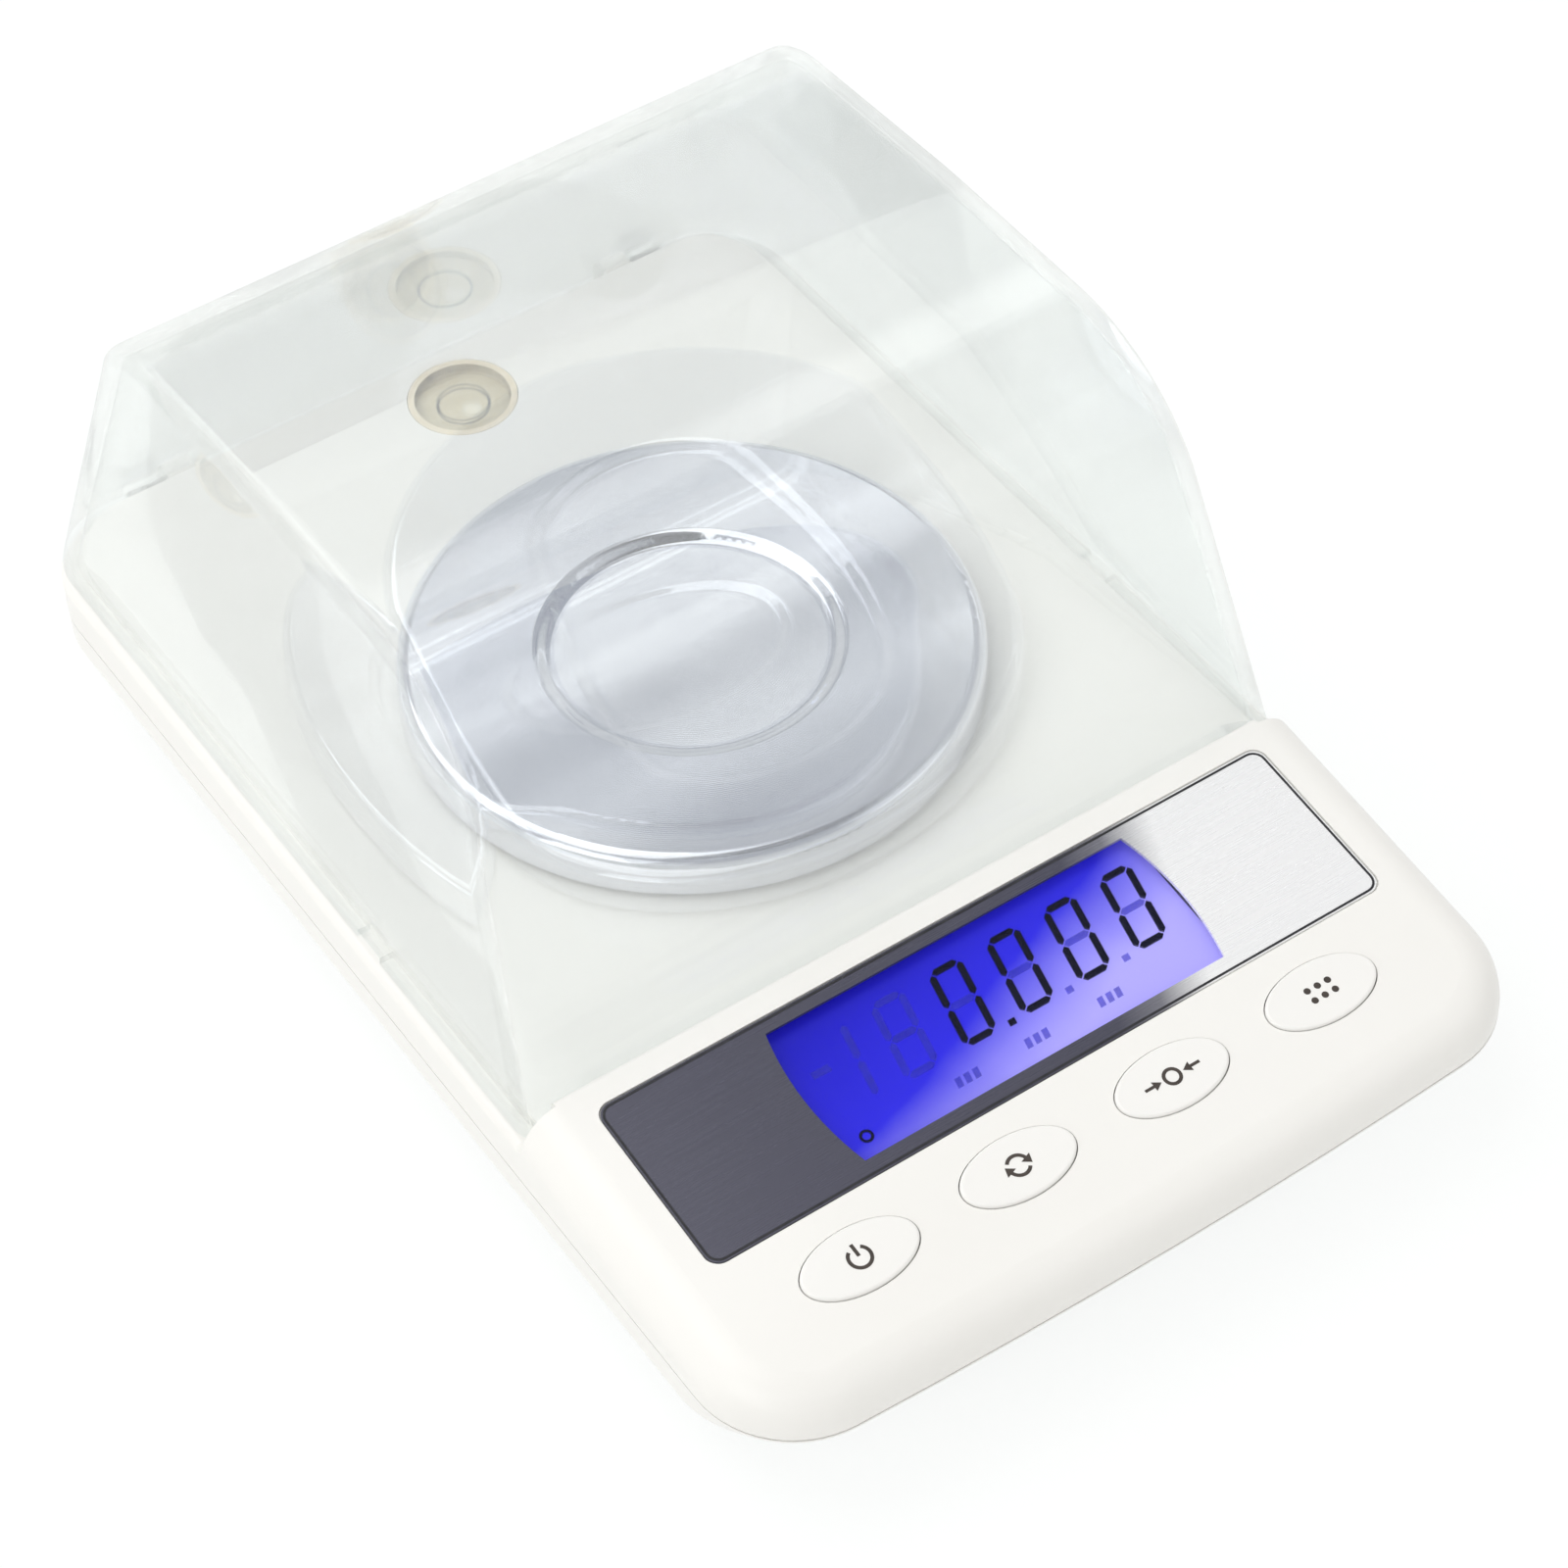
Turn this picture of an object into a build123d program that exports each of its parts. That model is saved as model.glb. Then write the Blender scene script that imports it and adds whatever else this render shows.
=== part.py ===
from build123d import *

import os
from math import cos, radians, sin, sqrt, tan

# A bench-top carat scale with a clear flip-up hood, a round steel pan and a sloped console.
# Millimetres. The origin lies on the table under the middle of the body, +Z is up and the front faces -Y.

# Body outline and heights above the table
body_width = 126.0
body_length = 196.0
body_corner_radius = 15.0
front_bow = 2.0
base_height = 4.0
base_side_inset = 6.5
base_front_inset = 13.0
lip_height = 12.5
front_lip_height = 16.6
seam_height = 17.2
ledge_height = 24.0
rear_ledge_height = 22.2
rear_ledge_start = 91.0
ledge_edge_radius = 1.2
platform_height = 28.0
housing_wall = 2.2
floor_thickness = 2.0
seam_gap = 0.3

# Raised deck under the hood
deck_half_width = 59.2
deck_flat_half_width = 50.6
deck_shoulder_radius = 17.5
deck_rear = 92.65
deck_corner_radius = 10.0

# Console: a plane that slopes down to the front from its rear top edge
console_line = -40.5
console_height = 30.0
console_slope = 7.0
nose_radius = 6.2
console_step_radius = 0.8

# Display plate and its window, measured along the slope from the console's rear edge
plate_width = 108.0
plate_height = 27.6
plate_centre_x = 0.6
plate_centre_v = -18.0
plate_corner_radius = 2.0
plate_thickness = 0.5
plate_recess = 0.6
plate_gap = 0.25
window_width = 58.0
window_height = 22.9
window_bulge = 1.5
window_centre_v = -17.85
window_pane_width = 62.6
window_pane_height = 25.0
window_pane_thickness = 1.0
glass_gap = 0.3

# Display module behind the window
lcd_width = 61.6
lcd_height = 24.4
lcd_thickness = 1.8
backlight_thickness = 3.2
lcd_frame_wall = 2.4

# Buttons
button_width = 17.3
button_height = 9.4
button_pitch = 24.7
button_centre_x = -0.2
button_centre_v = -40.8
button_rise = 0.45
button_edge_radius = 0.4
button_gap = 0.15
button_flange = 1.2
button_flange_thickness = 1.0
button_flange_gap = 0.1
button_travel = 0.6
switch_slack = 0.2
switch_side = 6.0
switch_body_height = 3.4
switch_plunger_height = 1.2
switch_plunger_radius = 1.7
button_nodes = ("power_button", "mode_button", "tare_button", "count_button")

# Main board, on four pillars under the console
board_width = 106.0
board_rear_v = -4.2
board_front_v = -50.2
board_thickness = 1.6
board_screw_x = 49.6
board_screw_rear_v = -7.8
board_screw_front_v = -46.8
pillar_radius = 3.0
board_screw_radius = 1.2
board_screw_head_radius = 2.3
board_screw_head_height = 1.5
board_drive_length = 2.6
board_drive_width = 0.6
screw_fit = 0.05

# Hood: side profile, draft, corners and edges
hood_wall = 2.0
hood_front_foot = -39.7
hood_front_lean = 18.0
hood_front_top = 84.0
hood_crown_y = 28.0
hood_crown_height = 84.3
hood_rear_top_y = 69.1
hood_rear_top_height = 81.7
hood_rear_foot = 97.2
hood_front_bend_radius = 27.0
hood_crown_radius = 150.0
hood_rear_bend_radius = 15.0
hood_foot_half_width = 61.8
hood_draft = 6.24
hood_corner_foot_radius = 12.0
hood_corner_top_radius = 2.6
hood_edge_radius = 3.1
hood_seat_gap = 0.3
hood_tip_relief = 1.0
hood_tip_half_width = 57.3
finger_notch_y = -0.4
finger_notch_length = 6.0
finger_notch_height = 1.2

# Hood hinge: one pin on each side, pressed in a lug of the body
hinge_y = 94.6
hinge_z = 25.6
hinge_pin_radius = 1.0
hinge_pin_clearance = 0.05
knuckle_radius = 2.5
knuckle_inner_x = 41.0
knuckle_length = 6.0
lug_length = 4.6
hinge_side_gap = 0.3
knuckle_clearance = 0.3
lug_notch_radius = 3.4

# Weighing pan
pan_y = 13.6
pan_height = 35.2
pan_radius = 41.5
pan_rim_radius = 2.0
pan_skirt_bottom = 28.9
pan_sheet = 1.0
pan_well_radius = 19.7
pan_well_slope = 2.5
pan_well_depth = 1.07

# Pan carrier: a ribbed disc with a hub that stands on the load cell
carrier_gap = 0.1
carrier_skirt_gap = 0.4
carrier_plate = 1.8
carrier_rim_bottom = 29.6
carrier_rim_width = 1.5
carrier_hub_radius = 6.0
carrier_hole_gap = 2.0
carrier_rib_count = 6
carrier_rib_width = 1.2
carrier_load_gap = 0.3

# Load cell: a milled beam with a double bore, on a metal foot at its rear end
cell_length = 47.0
cell_width = 12.0
cell_height = 6.0
cell_top = 19.0
cell_bore_radius = 2.2
cell_bore_spacing = 14.0
cell_slot_height = 1.2
cell_end_margin = 6.0
cell_screw_spacing = 7.0
cell_screw_radius = 1.5
cell_screw_head_radius = 2.7
cell_screw_head_height = 1.8
cell_drive_radius = 1.2
carrier_screw_grip = 6.0
cell_foot_bottom = 8.0
cell_foot_length = 13.0
cell_foot_chamfer = 0.6
gauge_length = 5.0
gauge_width = 4.0
gauge_thickness = 0.15
stop_screw_y = 23.5
stop_screw_radius = 1.6
stop_gap = 0.35
stop_post_radius = 3.6
stop_post_height = 10.5

# Round spirit level
level_x = 3.5
level_y = 82.0
level_radius = 8.3
level_gap = 0.1
level_depth = 8.0
level_wall = 1.0
level_lens_thickness = 1.8
level_lens_dome = 0.25

# Housing screws
housing_screw_x = 50.0
housing_screw_front_y = -34.0
housing_screw_rear_y = 84.0
housing_screw_radius = 1.45
housing_screw_head_radius = 2.8
housing_screw_head_height = 1.8
housing_drive_length = 3.2
housing_drive_width = 0.7
housing_drive_depth = 1.4
housing_boss_radius = 3.8
housing_screw_tip = 24.0
screw_hole_gap = 0.35

# Feet
foot_x = 44.0
front_foot_y = -70.0
front_foot_radius = 7.0
front_foot_recess = 1.0
front_foot_peg_radius = 2.6
front_foot_peg_end = 1.0
rear_foot_y = 68.0
wheel_radius = 8.6
wheel_bottom = 1.4
wheel_height = 3.0
wheel_flute_radius = 0.9
wheel_flute_count = 16
wheel_pocket_gap = 0.8
wheel_pocket_depth = 3.6
stud_radius = 2.4
stud_top = 14.5
stud_fit = 0.06
insert_radius = 3.6
insert_height = 7.0
foot_boss_radius = 6.0
foot_boss_top = 16.0
pad_radius = 7.6
pad_chamfer = 0.45

# Batteries and their bay
battery_radius = 5.25
battery_length = 42.5
battery_tip_radius = 1.9
battery_tip_length = 1.0
battery_count = 4
battery_pitch = 10.7
battery_centre_y = -17.5
bay_end_gap = 3.2
bay_side_gap = 0.3
bay_wall = 1.6
bay_roof_gap = 0.4
contact_thickness = 0.4
contact_height = 8.0
contact_width = 8.4
spring_radius = 3.0
spring_wire_radius = 0.35
spring_turns = 5

# Battery door, sliding forward in a channel of the underside
door_overlap = 2.0
door_bottom = 4.1
door_thickness = 1.5
door_lip = 1.4
door_lip_thickness = 0.7
door_gap = 0.3
channel_floor = 2.0
door_grip_count = 4
door_grip_pitch = 2.4
door_grip_width = 1.2
door_grip_depth = 0.5

# Adapter inlet in the rear wall
inlet_x = -34.0
inlet_radius = 4.0
inlet_hole_gap = 0.2
inlet_bore_radius = 2.75
inlet_bore_depth = 9.5
inlet_pin_radius = 1.0
inlet_length = 13.0
inlet_set_back = 0.2

slope = radians(console_slope)
console_plane = Plane(
    origin=(0, console_line, console_height),
    x_dir=(1, 0, 0),
    z_dir=(0, -sin(slope), cos(slope)),
)
window_depth = plate_recess + window_pane_thickness
lcd_top_depth = window_depth + glass_gap
backlight_depth = lcd_top_depth + lcd_thickness
switch_top_depth = housing_wall + button_flange_gap + button_flange_thickness + button_travel + switch_slack
board_depth = switch_top_depth + switch_plunger_height + switch_body_height
cell_front = pan_y - cell_end_margin
cell_rear = cell_front + cell_length
cell_bottom = cell_top - cell_height
cell_middle = (cell_front + cell_rear) / 2
bay_half_width = battery_length / 2 + bay_end_gap
bay_half_length = battery_count * battery_pitch / 2 + bay_side_gap
door_top = door_bottom + door_thickness
battery_axis = door_top + door_gap + battery_radius
bay_roof = battery_axis + battery_radius + bay_roof_gap
channel_top = door_top + door_gap
level_bottom = platform_height - level_depth


def box_between(low, high):
    """A box from its low corner to its high corner."""
    size = [b - a for a, b in zip(low, high)]
    middle = [(a + b) / 2 for a, b in zip(low, high)]
    return Pos(*middle) * Box(*size)


def post(x, y, bottom, top, radius):
    """An upright cylinder between two heights."""
    return Pos(x, y, (bottom + top) / 2) * Cylinder(radius, top - bottom)


def rod_x(x_from, x_to, y, z, radius):
    """A cylinder along X."""
    return Pos((x_from + x_to) / 2, y, z) * Rot(0, 90, 0) * Cylinder(radius, x_to - x_from)


def mirrored(shape):
    """The shape and its mirror image on the other side of the middle."""
    return [shape, mirror(shape, about=Plane.YZ)]


def bowed_plan(side, rear, front, corner):
    """A plan with a bowed front, straight sides and round corners."""
    bow_end = front + front_bow
    edges = [
        ThreePointArc((-side, bow_end), (0, front), (side, bow_end)),
        Line((side, bow_end), (side, rear)),
        Line((side, rear), (-side, rear)),
        Line((-side, rear), (-side, bow_end)),
    ]
    plan = make_face(edges)
    return fillet(plan.vertices(), corner)


def outline(inset):
    """The body's plan, set in all round."""
    rear = body_length / 2 - inset
    return bowed_plan(body_width / 2 - inset, rear, -rear, body_corner_radius - inset)


# Upper housing

def console_block(inset, bottom):
    """The sloped console with its rounded nose and sides."""
    tall = extrude(Pos(0, 0, bottom) * outline(inset), console_height + housing_wall - bottom)
    reach = body_length
    keep = Pos(0, -reach / 2 - inset, -reach / 2 - inset) * Box(2 * body_width, reach, reach)
    block = tall & (console_plane * keep)
    top_face = block.faces().sort_by(Axis((0, 0, 0), console_plane.z_dir))[-1]
    rim = [e for e in top_face.edges() if e.center().Y < console_line - inset - ledge_edge_radius]
    block = fillet(rim, nose_radius - inset)
    if inset:
        return block
    step_face = block.faces().sort_by(Axis.Y)[-1]
    step = step_face.edges().filter_by(Axis.X).sort_by(Axis.Z)[-1]
    return fillet(step, console_step_radius)


def deck_section(inset):
    """The deck's cross-section: flat in the middle, with wide round shoulders."""
    half = deck_half_width - inset
    top = platform_height - inset
    radius = deck_shoulder_radius - inset
    flat = deck_flat_half_width
    drop = radius - sqrt(radius**2 - (half - flat) ** 2)
    low = seam_height - housing_wall
    mid = (half + flat) / 2
    mid_drop = radius - sqrt(radius**2 - (mid - flat) ** 2)
    edges = [
        Line((-half, low), (half, low)),
        Line((half, low), (half, top - drop)),
        ThreePointArc((half, top - drop), (mid, top - mid_drop), (flat, top)),
        Line((flat, top), (-flat, top)),
        ThreePointArc((-flat, top), (-mid, top - mid_drop), (-half, top - drop)),
        Line((-half, top - drop), (-half, low)),
    ]
    return make_face(edges)


def deck_block(inset, front):
    """The raised deck under the hood, with round rear corners."""
    rear = deck_rear - inset
    start = Plane(origin=(0, rear, 0), x_dir=(1, 0, 0), z_dir=(0, -1, 0))
    block = extrude(start * deck_section(inset), rear - front)
    corners = block.edges().filter_by(Axis.Z).group_by(Axis.Y)[-1]
    return fillet(corners, deck_corner_radius - inset)


def ledge_block(inset, bottom):
    """The ledge round the deck behind the console, on which the hood stands, lower along the rear edge."""
    top = ledge_height - inset
    block = extrude(Pos(0, 0, bottom) * outline(inset), top - bottom)
    if not inset:
        block = fillet(block.faces().sort_by(Axis.Z)[-1].edges(), ledge_edge_radius)
    block = block - box_between((-body_width, -body_length, 0), (body_width, console_line, platform_height))
    low = (-body_width, rear_ledge_start - inset, rear_ledge_height - inset)
    high = (body_width, body_length, platform_height)
    return block - box_between(low, high)


def tip_relief():
    """The small step in the console's right rear corner that clears the hood's front tip."""
    low = (hood_tip_half_width, console_line - hood_tip_relief, ledge_height)
    return box_between(low, (body_width, console_line + hood_tip_relief, console_height))


def hinge_lug():
    """The lug on the right that holds the hinge pin."""
    right = knuckle_inner_x - hinge_side_gap
    left = right - lug_length
    low = (left, hinge_y - knuckle_radius, rear_ledge_height - housing_wall)
    high = (right, hinge_y + knuckle_radius, hinge_z)
    return box_between(low, high) + rod_x(left, right, hinge_y, hinge_z, knuckle_radius)


def knuckle_pocket():
    """The hollow in the deck's rear edge in which the hood's right knuckle turns."""
    left = knuckle_inner_x - hinge_side_gap
    right = knuckle_inner_x + knuckle_length + hinge_side_gap
    return rod_x(left, right, hinge_y, hinge_z, knuckle_radius + knuckle_clearance)


def display_plan(width, height, bulge):
    """A window with straight long sides and ends that bulge outwards."""
    x, y = width / 2, height / 2
    edges = [
        Line((-x, -y), (x, -y)),
        ThreePointArc((x, -y), (x + bulge, 0), (x, y)),
        Line((x, y), (-x, y)),
        ThreePointArc((-x, y), (-x - bulge, 0), (-x, -y)),
    ]
    return make_face(edges)


def on_console(plan, x, v, depth, thickness):
    """A flat piece of the given plan, its top face at a depth below the console's surface."""
    return console_plane * Pos(x, v, -depth - thickness) * extrude(plan, thickness)


def button_places():
    """The middle of each button across the console."""
    first = button_centre_x - 1.5 * button_pitch
    return [first + i * button_pitch for i in range(len(button_nodes))]


def button_plan(growth):
    """A button's oval, grown all round."""
    return Ellipse(button_width / 2 + growth, button_height / 2 + growth)


def board_screw_places():
    """The four board screws, along the console."""
    return [
        (side * board_screw_x, v)
        for side in (-1, 1)
        for v in (board_screw_rear_v, board_screw_front_v)
    ]


def housing_screw_places():
    """The four screws that hold the two housings together."""
    return [
        (side * housing_screw_x, y)
        for side in (-1, 1)
        for y in (housing_screw_front_y, housing_screw_rear_y)
    ]


def inlet_opening():
    """The round hole for the adapter inlet, half in each housing."""
    hole = Cylinder(inlet_radius + inlet_hole_gap, 2 * (inlet_length + inlet_hole_gap))
    return Pos(inlet_x, body_length / 2, seam_height) * Rot(90, 0, 0) * hole


def upper_housing():
    """The white top moulding: console, deck and ledge in one shell."""
    overlap = console_line - housing_wall
    outer = ledge_block(0, seam_height) + deck_block(0, overlap) + console_block(0, seam_height)
    for relief in mirrored(tip_relief()):
        outer = outer - relief
    low = seam_height - housing_wall
    inner = ledge_block(housing_wall, low) + deck_block(housing_wall, overlap)
    inner = inner + console_block(housing_wall, low)
    shell = outer - inner
    for lug in mirrored(hinge_lug()):
        shell = shell + lug
    for pocket in mirrored(knuckle_pocket()):
        shell = shell - pocket
    pin = hinge_pin()
    for bore in mirrored(pin):
        shell = shell - bore
    for x, v in board_screw_places():
        pillar = extrude(Circle(pillar_radius), board_depth - plate_recess)
        pillar = pillar - extrude(Circle(board_screw_radius + screw_fit), board_depth - housing_wall)
        shell = shell + console_plane * Pos(x, v, -board_depth) * pillar
    for x, y in housing_screw_places():
        pillar = post(x, y, seam_height, platform_height - housing_wall / 2, housing_boss_radius)
        pilot = post(x, y, seam_height, housing_screw_tip, housing_screw_radius + screw_fit)
        shell = shell + (pillar - pilot)
    recess = RectangleRounded(
        plate_width + 2 * plate_gap, plate_height + 2 * plate_gap, plate_corner_radius + plate_gap
    )
    shell = shell - on_console(recess, plate_centre_x, plate_centre_v, 0, plate_recess)
    opening = Rectangle(window_pane_width + 2 * glass_gap, window_pane_height + 2 * glass_gap)
    shell = shell - on_console(opening, plate_centre_x, window_centre_v, 0, board_depth)
    for x in button_places():
        shell = shell - on_console(button_plan(button_gap), x, button_centre_v, -1, board_depth)
    shell = shell - post(0, pan_y, seam_height, pan_height, carrier_hub_radius + carrier_hole_gap)
    shell = shell - post(level_x, level_y, seam_height, pan_height, level_radius + level_gap)
    return shell - inlet_opening()


# Lower housing

def tray_plan(inset, z):
    """The lower housing's plan at one height: below the lip the sides taper in and the front slopes back."""
    taper = base_side_inset * max(0, lip_height - z) / (lip_height - base_height)
    slant = base_front_inset * max(0, front_lip_height - z) / (front_lip_height - base_height)
    side = body_width / 2 - inset - taper
    rear = body_length / 2 - inset - taper
    front = slant + inset - body_length / 2
    return Pos(0, 0, z) * bowed_plan(side, rear, front, body_corner_radius - inset)


def tray_form(inset, bottom):
    """The lower housing's form, from its base up to the seam."""
    plans = [tray_plan(inset, z) for z in (bottom, lip_height, front_lip_height, seam_height - seam_gap)]
    form = loft(plans[:2], ruled=True)
    for low, high in zip(plans[1:], plans[2:]):
        form = form + loft([low, high], ruled=True)
    return form


def battery_bay():
    """The walls and roof of the battery bay, standing on the floor of the tray."""
    x = bay_half_width + bay_wall
    y = bay_half_length + bay_wall
    low = (-x, battery_centre_y - y, base_height)
    high = (x, battery_centre_y + y, bay_roof + bay_wall)
    return box_between(low, high)


def door_channel():
    """The channel in the underside along which the battery door slides to the front."""
    x = bay_half_width + door_gap
    rear = battery_centre_y + bay_half_length + door_overlap + door_gap
    plain = box_between((-x, -body_length, 0), (x, rear, channel_top))
    lip = x + door_lip
    groove_bottom = door_top - door_lip_thickness - door_gap
    return plain + box_between((-lip, -body_length, groove_bottom), (lip, rear, channel_top))


def lower_housing():
    """The white bottom moulding with its bosses, battery bay and door channel."""
    floor_top = base_height + floor_thickness
    form = tray_form(0, base_height)
    shell = form - tray_form(housing_wall, floor_top)
    channel_half = bay_half_width + door_gap + door_lip + bay_wall
    channel_rear = battery_centre_y + bay_half_length + door_overlap
    channel_roof = box_between(
        (-channel_half, -body_length, base_height),
        (channel_half, channel_rear + bay_wall, channel_top + channel_floor),
    )
    solid = channel_roof + battery_bay()
    for x, y in housing_screw_places():
        solid = solid + post(x, y, base_height, seam_height - seam_gap, housing_boss_radius)
    for side in (-1, 1):
        solid = solid + post(side * foot_x, rear_foot_y, base_height, foot_boss_top, foot_boss_radius)
        pocket_roof = base_height + wheel_pocket_depth + floor_thickness
        pocket_wall = wheel_radius + wheel_pocket_gap + floor_thickness
        solid = solid + post(side * foot_x, rear_foot_y, base_height, pocket_roof, pocket_wall)
        foot_roof = floor_top + front_foot_recess
        solid = solid + post(side * foot_x, front_foot_y, base_height, foot_roof, front_foot_radius)
    cell_boss_x = cell_width / 2 + floor_thickness
    cell_boss_front = cell_rear - cell_foot_length - floor_thickness
    solid = solid + box_between(
        (-cell_boss_x, cell_boss_front, base_height),
        (cell_boss_x, cell_rear + floor_thickness, cell_foot_bottom),
    )
    solid = solid + post(0, stop_screw_y, base_height, stop_post_height, stop_post_radius)
    cradle_half = inlet_radius + floor_thickness / 2
    cradle_front = body_length / 2 - housing_wall - inlet_length
    solid = solid + box_between(
        (inlet_x - cradle_half, cradle_front, base_height),
        (inlet_x + cradle_half, body_length / 2 - housing_wall, seam_height - inlet_radius),
    )
    shell = shell + (solid & form)
    bay = box_between(
        (-bay_half_width, battery_centre_y - bay_half_length, 0),
        (bay_half_width, battery_centre_y + bay_half_length, bay_roof),
    )
    shell = shell - bay - door_channel()
    for x, y in housing_screw_places():
        shell = shell - post(x, y, 0, seam_height, housing_screw_radius + screw_hole_gap)
        head_top = floor_top + housing_screw_head_height
        shell = shell - post(x, y, 0, head_top, housing_screw_head_radius + screw_hole_gap)
    for side in (-1, 1):
        x = side * foot_x
        pocket_top = base_height + wheel_pocket_depth
        shell = shell - post(x, rear_foot_y, 0, pocket_top, wheel_radius + wheel_pocket_gap)
        shell = shell - post(x, rear_foot_y, 0, foot_boss_top - insert_height, stud_radius + screw_hole_gap)
        shell = shell - post(x, rear_foot_y, foot_boss_top - insert_height, seam_height, insert_radius)
        recess_top = base_height + front_foot_recess
        shell = shell - post(x, front_foot_y, 0, recess_top, front_foot_radius + screw_hole_gap)
        shell = shell - post(x, front_foot_y, 0, seam_height, front_foot_peg_radius + screw_fit)
    shell = shell - post(0, stop_screw_y, base_height, seam_height, stop_screw_radius + screw_fit)
    for y in rear_cell_screws():
        shell = shell - post(0, y, base_height + floor_thickness, seam_height, cell_screw_radius + screw_fit)
    return shell - inlet_opening()


def housing_screws():
    """Four pan-head screws, from below."""
    screws = []
    floor_top = base_height + floor_thickness
    for x, y in housing_screw_places():
        head = post(x, y, floor_top, floor_top + housing_screw_head_height, housing_screw_head_radius)
        shank = post(x, y, floor_top, housing_screw_tip - screw_hole_gap, housing_screw_radius)
        slot = Box(housing_drive_length, housing_drive_width, housing_drive_depth)
        cross = slot + Rot(0, 0, 90) * slot
        screws.append(head + shank - Pos(x, y, floor_top) * cross)
    return screws


# Feet

def front_feet():
    """Two fixed rubber feet, pegged into the floor."""
    foot = post(foot_x, front_foot_y, 0, base_height + front_foot_recess, front_foot_radius)
    foot = fillet(foot.edges().sort_by(Axis.Z)[0], front_foot_recess)
    peg_top = base_height + floor_thickness + front_foot_recess + front_foot_peg_end
    return mirrored(foot + post(foot_x, front_foot_y, base_height, peg_top, front_foot_peg_radius))


def foot_wheel():
    """The right levelling foot: a fluted thumb wheel with its threaded stud."""
    top = wheel_bottom + wheel_height
    wheel = post(foot_x, rear_foot_y, wheel_bottom, top, wheel_radius)
    flute = Pos(wheel_radius, 0, wheel_bottom + wheel_height / 2) * Cylinder(wheel_flute_radius, wheel_height)
    ring = PolarLocations(0, wheel_flute_count)
    for place in ring:
        wheel = wheel - Pos(foot_x, rear_foot_y, 0) * place * flute
    return wheel + post(foot_x, rear_foot_y, wheel_bottom, stud_top, stud_radius)


def foot_pad():
    """The rubber pad under the right levelling foot."""
    pad = post(foot_x, rear_foot_y, 0, wheel_bottom, pad_radius)
    return chamfer(pad.edges().sort_by(Axis.Z)[0], pad_chamfer)


def foot_inserts():
    """Two brass thread inserts in the rear bosses."""
    bottom = foot_boss_top - insert_height
    insert = post(foot_x, rear_foot_y, bottom, foot_boss_top, insert_radius - screw_fit)
    insert = insert - post(foot_x, rear_foot_y, bottom, foot_boss_top, stud_radius + stud_fit)
    return mirrored(insert)


# Hood

def hood_profile(inset):
    """The hood's side profile: leaning front sheet, crowned top and leaning rear wall."""
    foot = platform_height
    lean = tan(radians(hood_front_lean))
    low = base_height
    rear_slant = (hood_rear_foot - hood_rear_top_y) / (hood_rear_top_height - ledge_height)
    front_low = hood_front_foot + (low - foot) * lean
    front_top = hood_front_foot + (hood_front_top - foot) * lean
    rear_low = hood_rear_foot + (ledge_height - low) * rear_slant
    path = FilletPolyline(
        (front_low, low),
        (front_top, hood_front_top),
        (hood_crown_y, hood_crown_height),
        (hood_rear_top_y, hood_rear_top_height),
        (rear_low, low),
        radius=[hood_front_bend_radius, hood_crown_radius, hood_rear_bend_radius],
    )
    face = make_face([*path.edges(), Line((rear_low, low), (front_low, low))])
    return offset(face, -inset, kind=Kind.INTERSECTION) if inset else face


def hood_plan(inset, z):
    """The hood's plan at one height, with round rear corners."""
    rise = z - ledge_height
    half = hood_foot_half_width - rise * tan(radians(hood_draft)) - inset
    rear_slant = (hood_rear_foot - hood_rear_top_y) / (hood_rear_top_height - ledge_height)
    rear = hood_rear_foot - rise * rear_slant - inset * sqrt(1 + rear_slant**2)
    share = rise / (hood_rear_top_height - ledge_height)
    radius = hood_corner_foot_radius + share * (hood_corner_top_radius - hood_corner_foot_radius)
    front = -body_length / 2
    plan = Pos(0, (rear + front) / 2) * Rectangle(2 * half, rear - front)
    radius = radius - inset * min(1, radius / hood_corner_foot_radius)
    return fillet(plan.vertices().sort_by(Axis.Y)[-2:], radius)


def hood_form(inset):
    """The hood's solid form at one offset from its outer surface."""
    along = Plane(origin=(-body_width, 0, 0), x_dir=(0, 1, 0), z_dir=(1, 0, 0))
    form = extrude(along * hood_profile(inset), 2 * body_width)
    draft = tan(radians(hood_draft))
    foot = hood_foot_half_width - inset + ledge_height * draft
    top = hood_foot_half_width - inset - (body_width - ledge_height) * draft
    across = Plane(origin=(0, body_length, 0), x_dir=(1, 0, 0), z_dir=(0, -1, 0))
    section = Polygon((-foot, 0), (foot, 0), (top, body_width), (-top, body_width), align=None)
    form = form & extrude(across * section, 2 * body_length)
    rims = [e for e in form.edges() if e.center().X > deck_flat_half_width and e.center().Z > seam_height]
    form = fillet(rims, hood_edge_radius - inset)
    form = form & mirror(form, about=Plane.YZ)
    low, high = seam_height, hood_rear_top_height + hood_rear_bend_radius
    ends = [Pos(0, 0, z) * hood_plan(inset, z) for z in (low, high)]
    return form & loft(ends, ruled=True)


def hinge_pin():
    """The right hinge pin."""
    left = knuckle_inner_x - hinge_side_gap - lug_length
    right = knuckle_inner_x + knuckle_length - hinge_side_gap
    return rod_x(left, right, hinge_y, hinge_z, hinge_pin_radius)


def hood_knuckle():
    """The right knuckle at the foot of the hood's rear wall."""
    right = knuckle_inner_x + knuckle_length
    return rod_x(knuckle_inner_x, right, hinge_y, hinge_z, knuckle_radius)


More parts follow.
